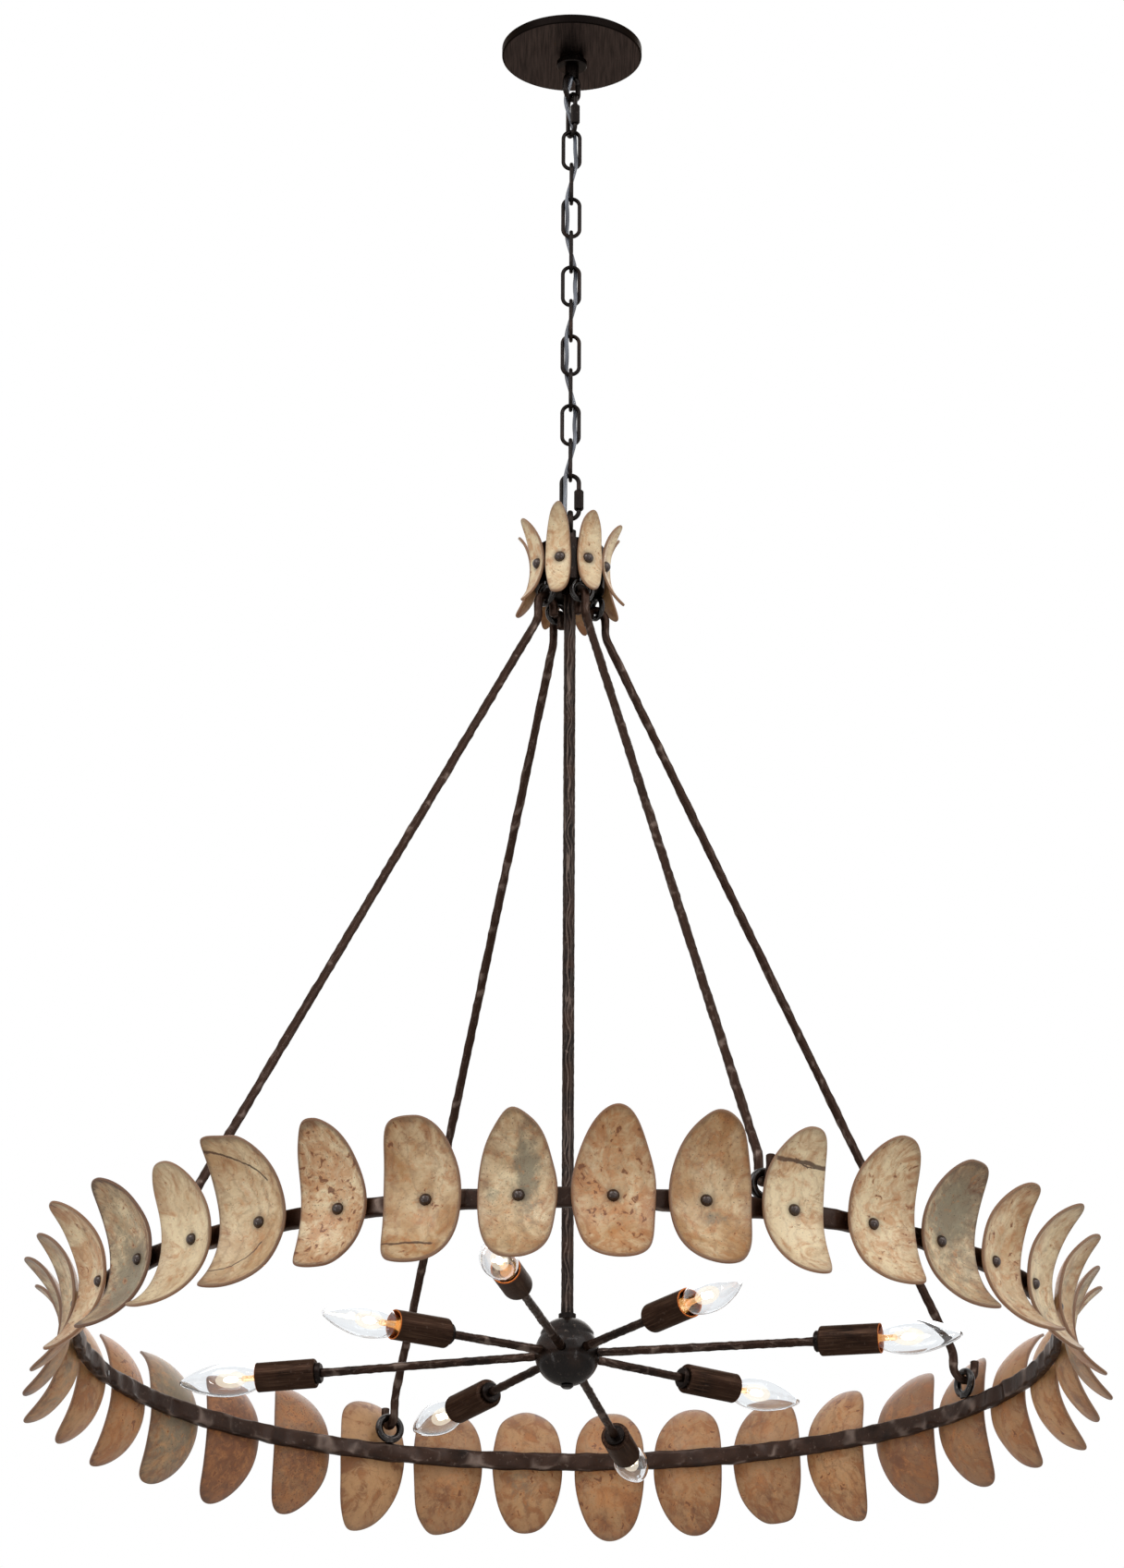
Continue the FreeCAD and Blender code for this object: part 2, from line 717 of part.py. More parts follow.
def ring_bar():
    inner = ring_radius - ring_thickness / 2
    outer = ring_radius + ring_thickness / 2
    section = spun([(inner, ring_level - ring_height / 2), (outer, ring_level - ring_height / 2),
                    (outer, ring_top), (inner, ring_top)])
    bar = section.makeFillet(ring_corner, [edge for edge in section.Edges if edge.Closed])
    start = V(inner + rivet_blind, 0, ring_level)
    bore = Part.makeCylinder(shell_hole / 2, ring_thickness, start, V(1, 0, 0))
    holes = [turned(bore, ring_place(index)) for index in range(shell_count)]
    return bar.cut(Part.makeCompound(holes))


def ring_shells():
    seat = ring_radius + ring_thickness / 2 + seat_play
    shells = []
    for index, shares in enumerate(shell_shares):
        shell = curved_shell(shares, shell_width, shell_half_height, shell_ball, shell_thickness)
        shells.append(set_out(shell, seat, ring_level, ring_place(index)))
    return shells


def ring_rivets():
    seat = ring_radius + ring_thickness / 2 + seat_play
    head = head_seat(shell_ball, shell_thickness)
    length = head + seat_play + ring_thickness - rivet_blind - seat_play
    pin = rivet(head, length)
    return [set_out(pin, seat, ring_level, ring_place(index)) for index in range(shell_count)]


def crown_shells():
    seat = cup_radius + seat_play
    shells = []
    for index, shares in enumerate(crown_shares):
        shell = curved_shell(shares, crown_width, crown_half_height, crown_ball, crown_thickness)
        shells.append(set_out(shell, seat, crown_level, crown_first + index * 360.0 / crown_count))
    return shells


def crown_rivets():
    seat = cup_radius + seat_play
    head = head_seat(crown_ball, crown_thickness)
    pin = rivet(head, head + seat_play + cup_wall)
    return [set_out(pin, seat, crown_level, crown_first + index * 360.0 / crown_count)
            for index in range(crown_count)]


# Stem and ball

def stem():
    return tube(stem_diameter, stem_bore, stem_foot - stem_reach, cup_foot + cup_wall + stem_reach)


def stem_collars():
    bore = stem_diameter + 2 * running_play
    upper = tube(stem_collar_diameter, bore, cup_foot - stem_collar_height, cup_foot)
    lower = tube(stem_collar_diameter, bore, stem_foot, stem_foot + stem_collar_height)
    return [upper, lower]


def stem_nut():
    low = cup_foot + cup_wall
    hole = tube(stem_diameter + 2 * running_play, 0, low - cut_past, low + nut_height + cut_past)
    return hexagon(hub_nut_width, low, low + nut_height).cut(hole)


def ball_bowl(arms):
    """The round body, open above its rim, with a hole for each arm."""
    rim = math.sqrt(ball_radius ** 2 - ball_rim_radius ** 2)
    whole = Part.makeSphere(ball_radius, V(0, 0, ball_level))
    hollow = Part.makeSphere(ball_radius - ball_wall, V(0, 0, ball_level))
    above = Part.makeCylinder(ball_radius * 2, ball_radius, V(0, 0, ball_level + rim))
    hole = tube(finial_diameter / 2 + 2 * running_play, 0, ball_level - ball_radius * 2, ball_level)
    return whole.cut(Part.makeCompound([hollow, above, hole])).cut(Part.makeCompound(arms))


def ball_lid():
    """A shallow dome with an upright edge, carried on the bowl's rim."""
    rim = ball_level + math.sqrt(ball_radius ** 2 - ball_rim_radius ** 2)
    shoulder = rim + ball_lid_edge
    top = stem_foot
    wall = ball_wall
    half = (ball_rim_radius + ball_top_flat) / 2
    bulge = (top - shoulder) * ball_lid_bulge_share
    inner = ball_rim_radius - wall
    low = top - wall
    edges = [Part.LineSegment(V(inner, 0, rim), V(ball_rim_radius, 0, rim)).toShape(),
             Part.LineSegment(V(ball_rim_radius, 0, rim), V(ball_rim_radius, 0, shoulder)).toShape(),
             Part.Arc(V(ball_rim_radius, 0, shoulder), V(half, 0, shoulder + bulge),
                      V(ball_top_flat, 0, top)).toShape(),
             Part.LineSegment(V(ball_top_flat, 0, top), V(0, 0, top)).toShape(),
             Part.LineSegment(V(0, 0, top), V(0, 0, low)).toShape(),
             Part.LineSegment(V(0, 0, low), V(ball_top_flat, 0, low)).toShape(),
             Part.Arc(V(ball_top_flat, 0, low), V(half - wall / 2, 0, shoulder + bulge - wall),
                      V(inner, 0, shoulder)).toShape(),
             Part.LineSegment(V(inner, 0, shoulder), V(inner, 0, rim)).toShape()]
    hole = tube(stem_diameter + 2 * running_play, 0, rim, top + cut_past)
    return spun_edges(edges).cut(hole)


def ball_finial():
    """A low round-headed cap screw in the bottom of the ball."""
    foot = ball_level - ball_radius
    shank = finial_diameter / 4
    seat = ball_level - math.sqrt(ball_radius ** 2 - (finial_diameter / 2) ** 2)
    return spun([(0, foot - finial_height), (finial_diameter / 3, foot - finial_height),
                 (finial_diameter / 2, foot - finial_height / 3), (finial_diameter / 2, foot - seat_play),
                 (shank, foot - seat_play), (shank, seat + ball_wall * 2), (0, seat + ball_wall * 2)])


# Lamps, modelled along +Z from the ball's centre and then laid out

def lamp_reach(index):
    return long_arm if index % 2 == 0 else short_arm


def laid_out(shape, index):
    """Lay a lamp piece along its arm's bearing, with the arm's own droop."""
    copy = shape.copy()
    copy.rotate(CENTRE, V(0, 1, 0), 90.0 - arm_droops[index])
    return lifted(turned(copy, arm_turns[index]), ball_level)


def arm(reach):
    return tube(arm_diameter, arm_bore, ball_radius - ball_wall, reach + holder_start - seat_play)


def socket_cover(reach):
    outer = cover_diameter / 2
    hole = arm_diameter / 2 + seat_play
    mouth = reach + cover_length
    body = spun([(hole, reach), (outer - cover_wall, reach), (outer, reach + cover_wall), (outer, mouth),
                 (outer - cover_wall, mouth), (outer - cover_wall, reach + cover_wall * 2),
                 (hole, reach + cover_wall * 2)])
    return body


def arm_nut(reach):
    hole = arm_diameter / 2 + running_play
    outer = arm_nut_diameter / 2
    low = reach - arm_nut_height
    return spun([(hole, low), (outer - cover_wall, low), (outer, low + cover_wall),
                 (outer, reach), (hole, reach)])


def lampholder(reach):
    low = reach + holder_start
    high = low + holder_length
    bore = bulb_cap_diameter / 2 + seat_play
    floor = high - holder_bore_depth
    return spun([(0, low), (holder_diameter / 2, low), (holder_diameter / 2, high), (bore, high),
                 (bore, floor), (0, floor)])


def bulb(reach):
    """A pointed clear lamp: a hollow glass body on a threaded cap."""
    mouth = reach + cover_length
    cap_high = reach + holder_start + holder_length + 2 * seat_play
    cap_low = cap_high - holder_bore_depth
    belly = mouth + bulb_reach * bulb_belly_share
    tip = mouth + bulb_reach
    widest = bulb_glass / 2

    def wall(inset):
        neck = V(bulb_neck / 2 - inset, 0, cap_high + inset)
        throat = V(bulb_neck_at_mouth / 2 - inset, 0, mouth)
        side = V(widest - inset, 0, belly)
        taper = V(widest * bulb_taper_share - inset, 0, belly + (tip - belly) * bulb_taper_share)
        point = V(bulb_tip / 2, 0, tip - inset)
        curve = Part.BSplineCurve()
        curve.interpolate([neck, throat, side, taper, point])
        return curve.toShape(), neck, point

    outer, neck, point = wall(0.0)
    inner, inner_neck, inner_point = wall(bulb_glass_wall)
    base = Part.LineSegment(neck, inner_neck).toShape()
    nib = Part.LineSegment(point, inner_point).toShape()
    glass = Part.Face(Part.Wire([outer, nib, inner, base])).revolve(CENTRE, UP, 360)
    seal = tube(bulb_tip, 0, tip - bulb_glass_wall, tip)
    cap = spun([(0, cap_low), (bulb_cap_diameter / 4, cap_low),
                (bulb_cap_diameter / 2, cap_low + bulb_cap_taper),
                (bulb_cap_diameter / 2, cap_high), (bulb_neck / 2, cap_high),
                (bulb_neck / 2 - bulb_glass_wall, cap_high + bulb_glass_wall),
                (0, cap_high + bulb_glass_wall)])
    return fused([glass, seal, cap])


def main():
    os.makedirs("parts", exist_ok=True)
    export("crossbar", crossbar())
    export("nipple", nipple())
    export("nipple_nuts", nipple_nuts())
    export("earth_screw", earth_screw())
    export("canopy", canopy())
    export("canopy_collar", canopy_collar())
    export("ceiling_loop", ceiling_loop())

    for name, bearing, foot in (("upper", upper_quick_bearing, upper_quick_foot),
                                ("lower", lower_quick_bearing, lower_quick_foot)):
        export(name + "_quick_link", place_link(quick_link(), bearing, foot))
        export(name + "_sleeve", place_link(quick_sleeve(), bearing, foot))
    for index in range(link_count):
        export("chain_link_%02d" % (index + 1), chain_link(index))
    export("supply_cable", supply_cable())

    export("hub_loop", hub_loop())
    export("hub_nuts", hub_nuts())
    export("crown_lid", crown_lid())
    export("crown_cup", crown_cup())
    export("crown_eyes", crown_eyes())
    export("crown_shells", crown_shells())
    export("crown_rivets", crown_rivets())

    straight = rod()
    for number, bearing in enumerate(rod_turns):
        export("rod_%d" % (number + 1), turned(straight, bearing))

    bar = ring_bar()
    export("ring_bar", bar)
    export("ring_eyes", ring_eyes(bar))
    shells = ring_shells()
    share = shell_count // shell_node_count
    for group in range(shell_node_count):
        export("ring_shells_%d" % (group + 1), shells[group * share:(group + 1) * share])
    export("ring_rivets", ring_rivets())

    export("stem", stem())
    export("stem_collars", stem_collars())
    export("stem_nut", stem_nut())
    reaches = [lamp_reach(index) for index in range(arm_count)]
    holes = [laid_out(tube(arm_diameter + 2 * running_play, 0, ball_radius / 2, ball_radius * 2), index)
             for index in range(arm_count)]
    export("ball_bowl", ball_bowl(holes))
    export("ball_lid", ball_lid())
    export("ball_finial", ball_finial())
    arms = [laid_out(arm(reach), index) for index, reach in enumerate(reaches)]
    export("long_arms", arms[0::2])
    export("short_arms", arms[1::2])
    for name, make in (("socket_covers", socket_cover), ("arm_nuts", arm_nut),
                       ("lampholders", lampholder)):
        export(name, [laid_out(make(reach), index) for index, reach in enumerate(reaches)])
    for index, reach in enumerate(reaches):
        export("bulb_%d" % (index + 1), laid_out(bulb(reach), index))


main()
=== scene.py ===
"""Shell-ring chandelier, dressed over its packed frame.

Every piece is a surface worked out on a grid of two parameters, in metres, in the frame's own
axes: Z up, the viewer at -Y, the origin in the middle of the ceiling plate. Bearings are degrees
about Z from the side that faces the viewer, growing towards +X.
"""
import math

import bmesh
import bpy
import numpy as np
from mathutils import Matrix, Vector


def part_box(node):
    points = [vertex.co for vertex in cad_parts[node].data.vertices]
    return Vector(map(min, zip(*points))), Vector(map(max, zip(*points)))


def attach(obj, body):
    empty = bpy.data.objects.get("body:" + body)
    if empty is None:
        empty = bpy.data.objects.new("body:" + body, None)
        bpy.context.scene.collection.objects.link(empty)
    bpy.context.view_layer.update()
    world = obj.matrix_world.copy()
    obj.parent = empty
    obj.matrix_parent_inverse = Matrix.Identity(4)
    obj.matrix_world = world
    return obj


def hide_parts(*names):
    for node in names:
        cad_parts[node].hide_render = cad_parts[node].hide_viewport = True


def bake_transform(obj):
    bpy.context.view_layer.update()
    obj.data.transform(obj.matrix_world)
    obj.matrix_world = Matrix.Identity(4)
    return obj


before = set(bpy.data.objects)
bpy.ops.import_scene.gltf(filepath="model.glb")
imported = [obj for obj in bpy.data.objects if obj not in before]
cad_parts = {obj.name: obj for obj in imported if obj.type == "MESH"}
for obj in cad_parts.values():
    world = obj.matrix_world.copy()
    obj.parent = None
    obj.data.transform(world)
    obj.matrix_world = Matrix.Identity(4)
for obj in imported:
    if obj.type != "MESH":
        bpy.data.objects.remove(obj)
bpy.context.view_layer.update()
ring_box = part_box("ring_bar")

bl_info = {
    "name": "Shell-ring chandelier",
    "version": (1, 0, 0),
    "blender": (4, 5, 0),
    "location": "3D View > Sidebar > Chandelier",
    "description": "Shells, hammered metal, lamps and cable for a chandelier hung from a chain",
    "category": "Object",
}

MM = 0.001
TURN = 2 * math.pi
UP = np.array((0.0, 0.0, 1.0))
SIDEWAYS = np.array((0.0, 1.0, 0.0))

# Levels of the stack below the ceiling
LOOP_FOOT = -61.2 * MM
UPPER_QUICK_MIDDLE = -76.9 * MM
FIRST_LINK_TOP = -94.1 * MM
LINK_STEP = 38.85 * MM
LINK_HEIGHT = 47.05 * MM
LOWER_QUICK_FOOT = -534.0 * MM
LOWER_QUICK_HEIGHT = 52.0 * MM
HUB_LOOP_TOP = -523.2 * MM
CUP_FOOT = -610.2 * MM
CROWN_LEVEL = -588.2 * MM
RING_LEVEL = -1376.0 * MM
BALL_LEVEL = -1388.5 * MM
LINK_COUNT = 10

# Fixed sizes of the solids
PLAY = 0.2 * MM             # gap between pieces that lie on each other
RING_THICKNESS = 10 * MM
LONG_ARM = 242.0 * MM       # from the ball's middle to the back of a lamp cover
SHORT_ARM = 133.0 * MM
COVER_LENGTH = 57.5 * MM
CROWN_RADIUS = 34.0 * MM
GLASS_WALL = 0.7 * MM
HOLDER_START, HOLDER_LENGTH, CAP_LENGTH = 6, 40, 22     # millimetres
CABLE_RADIUS = 2.1 * MM
MAP_SCALE = 10              # a map's units in a metre

# Bearings
RING_SHELL_FIRST, RING_SHELL_STEP = 5.0, 10.0
CROWN_SHELL_FIRST, CROWN_SHELL_STEP = -15.7, 45.0
ROD_TURNS = (-49.0, 22.3, 121.0, 203.5)
ARM_TURNS = (-10.4, 36.0, 75.0, 123.5, 169.0, 214.0, 258.0, 303.5)
ARM_DROOPS = (-0.6, 1.9, -1.0, -1.3, -4.0, -3.5, -1.3, -0.4)    # degrees above level
LAMP_COUNT = len(ARM_TURNS)

# First seeds of the random draws; shells, rods and arms add their own number
RIM_SEED, WARP_SEED = 40, 90
BAR_DENT_SEED, BAR_WAVE_SEED, BAR_RISE_SEED = 5, 11, 13
ROD_DENT_SEED, ROD_FLAT_SEED, ROD_WAVE_SEED = 60, 70, 80
ARM_DENT_SEED, ARM_WAVE_SEED = 160, 170
STEM_SWAY_SEED, STEM_ROUGH_SEED = 23, 27

# Outline of each ring shell, from the one on the viewer's right of centre, turning right:
# parts of the nominal width left and right of the rivet, of the half height above and below
# it, and how square the upper and lower ends are.
SHELL_OUTLINES = (
    (1.02, 1.00, 1.02, 1.01, 0.05, 0.35),
    (0.99, 1.06, 1.01, 1.03, 0.05, 0.15),
    (0.94, 0.74, 0.96, 1.02, 0.10, 0.20),
    (0.89, 1.07, 1.02, 0.85, 0.15, 0.00),
    (0.85, 1.00, 0.99, 1.01, 0.10, 0.00),
    (0.90, 0.91, 0.99, 1.04, 0.00, 0.05),
    (0.82, 0.84, 1.03, 0.93, 0.05, 0.10),
    (1.00, 0.92, 0.98, 1.00, 0.10, 0.00),
    (0.94, 0.96, 0.92, 0.98, 0.00, 0.10),
    (0.90, 1.00, 1.00, 0.96, 0.10, 0.05),
    (0.96, 0.92, 0.94, 1.02, 0.00, 0.15),
    (0.92, 0.98, 1.02, 0.98, 0.10, 0.20),
    (0.98, 1.00, 0.94, 0.98, 0.00, 0.25),
    (1.06, 1.04, 1.00, 0.98, 0.05, 0.30),
    (0.86, 1.04, 0.92, 1.03, 0.35, 0.20),
    (1.04, 0.99, 0.92, 0.96, 0.15, 0.35),
    (0.97, 1.03, 0.90, 1.01, 0.25, 0.30),
    (1.01, 0.98, 0.90, 1.03, 0.30, 0.30),
    (0.98, 1.00, 0.90, 0.96, 0.30, 0.20),
    (1.00, 1.00, 0.90, 1.01, 0.25, 0.35),
    (1.03, 0.93, 0.90, 1.03, 0.45, 0.25),
    (1.06, 0.84, 0.98, 0.97, 0.05, 0.20),
    (0.98, 0.94, 0.98, 1.00, 0.10, 0.25),
    (1.03, 0.99, 1.04, 0.98, 0.00, 0.30),
    (0.98, 0.90, 0.96, 1.00, 0.10, 0.20),
    (1.00, 0.96, 1.00, 0.98, 0.15, 0.15),
    (0.94, 0.98, 0.98, 1.02, 0.00, 0.10),
    (0.96, 0.94, 1.00, 0.98, 0.10, 0.00),
    (0.90, 1.00, 0.96, 0.98, 0.05, 0.05),
    (0.94, 0.95, 1.03, 0.95, 0.00, 0.10),
    (0.98, 1.00, 1.01, 0.97, 0.05, 0.00),
    (0.92, 0.88, 0.95, 1.04, 0.05, 0.05),
    (1.04, 0.94, 1.01, 1.02, 0.10, 0.10),
    (0.92, 0.83, 1.02, 0.85, 0.20, 0.05),
    (0.98, 0.95, 0.97, 1.03, 0.15, 0.45),
    (0.97, 0.94, 0.98, 1.03, 0.05, 0.10),
)
# Ring shells whose four corners differ: how square the upper right, upper left, lower left and
# lower right corners are, and how far the upper and lower ends lean up towards the right.
SHELL_CORNERS = {
    0: (-0.05, -0.10, 0.15, 0.60, 0.00, 0.00),
    1: (0.25, 0.00, 0.05, 0.40, 0.02, 0.00),
    2: (0.55, 0.10, -0.05, 0.65, 0.03, 0.00),
    3: (0.40, 0.10, 0.00, 1.05, 0.02, -0.10),
    4: (0.50, 0.05, 0.00, 0.70, 0.05, -0.08),
    5: (0.40, 0.00, -0.05, 1.00, 0.03, -0.10),
    6: (0.30, 0.00, -0.05, 1.00, 0.03, -0.08),
    29: (0.00, 0.30, 1.00, -0.05, -0.03, 0.08),
    30: (0.00, 0.35, 1.00, -0.05, -0.04, 0.09),
    31: (0.05, 0.50, 0.95, -0.10, -0.02, 0.06),
    32: (0.10, 0.95, 0.85, 0.00, -0.05, 0.05),
    33: (0.00, 0.50, 1.10, -0.10, -0.02, 0.10),
    34: (0.10, 0.70, 0.75, 0.20, -0.03, 0.02),
    35: (0.00, -0.05, 0.20, 0.25, 0.00, 0.00),
}
CROWN_OUTLINES = (
    (1.06, 0.98, 1.10, 1.06, 0.20, 0.20),
    (1.04, 1.06, 0.98, 0.90, 0.30, 0.15),
    (0.96, 0.98, 0.96, 1.00, 0.00, 0.05),
    (0.98, 1.00, 1.02, 0.98, 0.05, 0.00),
    (1.02, 0.96, 0.98, 1.04, 0.00, 0.05),
    (1.00, 1.00, 1.00, 0.96, 0.05, 0.00),
    (0.96, 1.02, 0.96, 1.00, 0.00, 0.05),
    (0.98, 0.98, 1.00, 0.98, 0.05, 0.00),
)
# Crown shells are numbered on from here, past the ring shells
CROWN_NUMBER = 50
# How far the tips of a crown shell bend to the right of its rivet, in millimetres
CROWN_BOWS = {50: 4.5, 51: -5.5}
# Colouring of each ring shell in the same order: how tan, how grey, how rusty, how speckled,
# how dark its edge is and how strong its flow lines are.
SHELL_COLOURS = (
    (0.62, 0.05, 0.80, 0.40, 0.30, 0.50),
    (0.78, 0.20, 0.25, 0.50, 0.40, 0.65),
    (0.05, 0.05, 0.20, 0.25, 0.25, 0.40),
    (0.10, 0.05, 0.60, 0.30, 0.30, 0.35),
    (0.35, 0.60, 0.20, 0.55, 0.45, 0.50),
    (0.35, 0.10, 0.50, 0.30, 0.35, 0.40),
    (0.20, 0.30, 0.20, 0.25, 0.45, 0.35),
    (0.45, 0.20, 0.30, 0.35, 0.40, 0.40),
    (0.40, 0.55, 0.30, 0.40, 0.45, 0.40),
    (0.40, 0.30, 0.30, 0.40, 0.40, 0.40),
    (0.35, 0.20, 0.40, 0.35, 0.35, 0.50),
    (0.50, 0.10, 0.45, 0.30, 0.40, 0.50),
    (0.66, 0.25, 0.40, 0.45, 0.45, 0.50),
    (0.78, 0.30, 0.35, 0.55, 0.35, 0.60),
    (0.28, 0.25, 0.55, 0.45, 0.40, 0.85),
    (0.45, 0.15, 0.35, 0.40, 0.40, 0.60),
    (0.42, 0.10, 0.55, 0.40, 0.40, 0.50),
    (0.40, 0.20, 0.75, 0.40, 0.40, 0.55),
    (0.33, 0.10, 0.40, 0.35, 0.40, 0.45),
    (0.45, 0.15, 0.30, 0.40, 0.40, 0.45),
    (0.08, 0.05, 0.05, 0.25, 0.35, 0.30),
    (0.70, 0.40, 0.55, 0.85, 0.45, 0.60),
    (0.92, 0.20, 0.65, 0.60, 0.55, 0.80),
    (0.30, 0.75, 0.15, 0.45, 0.45, 0.45),
    (0.50, 0.10, 0.75, 0.40, 0.45, 0.55),
    (0.40, 0.30, 0.35, 0.40, 0.40, 0.50),
    (0.35, 0.65, 0.25, 0.45, 0.45, 0.40),
    (0.40, 0.75, 0.20, 0.45, 0.50, 0.40),
    (0.40, 0.60, 0.25, 0.45, 0.45, 0.40),
    (0.25, 0.15, 0.65, 0.35, 0.30, 0.40),
    (0.45, 0.65, 0.25, 0.60, 0.75, 0.45),
    (0.05, 0.05, 0.10, 0.25, 0.25, 0.35),
    (0.50, 0.05, 0.20, 0.40, 0.50, 0.65),
    (0.10, 0.05, 0.85, 0.60, 0.55, 0.40),
    (0.68, 0.15, 0.30, 0.40, 0.45, 0.60),
    (0.45, 0.35, 0.25, 0.60, 0.35, 0.40),
)
CROWN_COLOURS = (
    (0.25, 0.05, 0.25, 0.35, 0.30, 0.20),
    (0.20, 0.05, 0.35, 0.40, 0.25, 0.20),
    (0.15, 0.05, 0.30, 0.30, 0.25, 0.20),
    (0.30, 0.10, 0.30, 0.30, 0.30, 0.25),
    (0.30, 0.10, 0.30, 0.30, 0.30, 0.25),
    (0.30, 0.10, 0.30, 0.30, 0.30, 0.25),
    (0.30, 0.10, 0.30, 0.30, 0.30, 0.25),
    (0.25, 0.05, 0.40, 0.35, 0.25, 0.20),
)
BALL_SHARE = 0.978          # how near the ball's own radius an outline may come
HALO = 5 * MM               # the dark ring about a rivet fades from here to twice as far
# What the columns of the colour tables are called in the meshes
COLOUR_NAMES = ("tone", "grey", "rust", "speck", "edge", "flow")
# Colours that the shells' finish takes from the settings, and values that it reads from each mesh
SHELL_TINTS = ("Cream", "Tan", "Orange", "Grey", "Rust", "Edge", "Back")
SHELL_MARKS = {
    "Tone": "tone", "Greyness": "grey", "Rustiness": "rust", "Specks": "speck", "Edging": "edge",
    "Flow": "flow", "Rim": "rim", "Behind": "behind", "Halo": "halo", "Moss": "moss", "Burn": "burn",
    "Lip": "lip",
}
# Broad stains in millimetres from the rivet: kind, place to the right and up, half width, half
# height and strength. Moss is grey green, burn is dark brown.
SHELL_STAINS = {
    0: (("burn", 8, 22, 14, 10, 0.35), ("burn", 2, 48, 10, 8, 0.30)),
    1: (("burn", -2, 44, 22, 20, 0.35), ("moss", 6, -16, 12, 9, 0.60)),
    2: (("burn", 4, 38, 26, 5, 0.35),),
    3: (("burn", -18, 18, 10, 16, 0.25),),
    4: (("moss", 8, 30, 26, 30, 0.75), ("burn", 20, 52, 12, 8, 0.70)),
    5: (("burn", -14, -26, 10, 12, 0.60), ("burn", 10, -40, 12, 14, 0.55)),
    6: (("moss", 0, -30, 18, 20, 0.30),),
    7: (("moss", 6, 24, 16, 30, 0.40),),
    8: (("moss", 0, 10, 20, 40, 0.55),),
    12: (("burn", 10, -34, 16, 20, 0.60), ("burn", -10, 30, 14, 12, 0.40)),
    13: (("burn", 4, -26, 22, 26, 0.80), ("burn", 10, 34, 16, 14, 0.50)),
    # The lowest burns of shells 14 to 19 make their lower ends darker
    14: (("burn", 4, -20, 22, 26, 0.35), ("burn", -12, -48, 16, 10, 0.50)),
    15: (("burn", -4, -44, 24, 16, 0.60), ("burn", 16, 22, 12, 20, 0.40)),
    16: (("burn", 4, 26, 22, 18, 0.35), ("burn", 6, -46, 22, 14, 0.65)),
    17: (("burn", -16, -34, 12, 16, 0.45), ("burn", 8, -52, 20, 12, 0.60)),
    18: (("burn", 0, 22, 24, 14, 0.35), ("moss", 6, -20, 20, 26, 0.45)),
    19: (("burn", -8, 34, 20, 16, 0.70), ("burn", 6, -38, 20, 22, 0.75)),
    20: (("burn", 16, -50, 10, 8, 0.30),),
    21: (("burn", 0, -14, 26, 34, 0.95), ("burn", 8, 44, 12, 12, 0.55)),
    22: (("burn", 0, -4, 34, 62, 1.00),),
    23: (("moss", 0, 10, 26, 40, 0.50),),
    24: (("burn", -6, 20, 14, 26, 0.50),),
    29: (("burn", 4, 40, 12, 18, 0.45), ("burn", -8, -38, 10, 14, 0.50)),
    30: (("moss", -4, -18, 22, 30, 0.80), ("burn", 24, 6, 8, 44, 0.80)),
    32: (("burn", 14, 20, 16, 26, 0.30),),
    33: (("burn", -18, -44, 20, 6, 0.35), ("burn", -26, 30, 8, 12, 0.40)),
    34: (("burn", 0, 46, 30, 18, 0.35),),
    35: (("moss", 8, 20, 12, 34, 0.90), ("moss", -24, 2, 8, 10, 0.55)),
}
# Curved cracks in millimetres from the rivet: middle of the curve's circle, its radius, the
# bearing of the crack's middle in degrees, half its spread in degrees and half its width.
SHELL_CRACKS = {
    2: ((-8, -62, 104, 85, 16, 2.2), (20, 92, 55, -95, 24, 0.8)),
    6: ((2, -180, 200, 90, 3.6, 0.8),),
    18: ((-70, 0, 84, 16, 15, 0.7),),
    24: ((-52, 30, 60, -20, 26, 0.8),),
    32: ((-41, -19, 80, 63, 22, 1.1), (-46, 11, 60, -55, 25, 0.9)),
    34: ((-7, -124, 80, 90, 15, 1.6), (-26, -54, 9, 140, 70, 1.2)),
}

# The cable's route in millimetres: across X, across Y, height from the ceiling loop's foot
# for the head and from the lower quick link's foot for the tail.
CABLE_HEAD = (
    (0.0, 0.0, 59.0),
    (0.1, 0.0, 44.0),
    (-0.1, 0.0, 30.0),
    (-2.4, 0.6, 18.5),
    (-6.1, 1.5, 8.0),
    (-6.2, 2.0, -2.0),
    (-1.6, 3.4, -16.0),
    (3.8, 5.4, -37.5),
)
CABLE_TAIL = (
    (-4.9, -4.7, 32.0),
    (-5.3, -5.1, 16.0),
    (-5.5, -5.3, 3.0),
    (-1.6, -1.7, -7.0),
    (0.0, 0.1, -17.0),
    (0.1, 0.0, -27.0),
    (0.0, 0.0, -37.0),
)
# How far its route swings out inside a link and, along X and along Y, between two links
LINK_SIDE, LINK_CORNER = 3.4, 5.2
# Lengths that are cut at their joint, because bending them over it strays when all joints turn
CABLE_SPLIT = ("cable_08",)

# Lamps of the stage: place, width, height, and the setting and share of it that is their power
STAGE_LAMPS = (
    ("key", (-2.0, -2.5, 1.3), 2.2, 2.2, "lamps", 1.0),
    ("fill", (2.5, -1.8, 0.8), 2.4, 2.4, "lamps", 0.6),
    ("back", (0.4, 2.8, 0.8), 2.4, 2.4, "lamps", 0.6),
    ("strip left", (-2.4, -1.6, -2.3), 0.09, 1.6, "strips", 1.0),
    ("strip right", (1.7, -2.7, -2.1), 0.09, 1.6, "strips", 1.0),
    ("strip above", (0.9, -2.2, 0.7), 1.6, 0.09, "strips", 1.0),
)
STAGE_AIM = (0.0, 0.0, -1.0)
FLOOR_REACH = 6.0

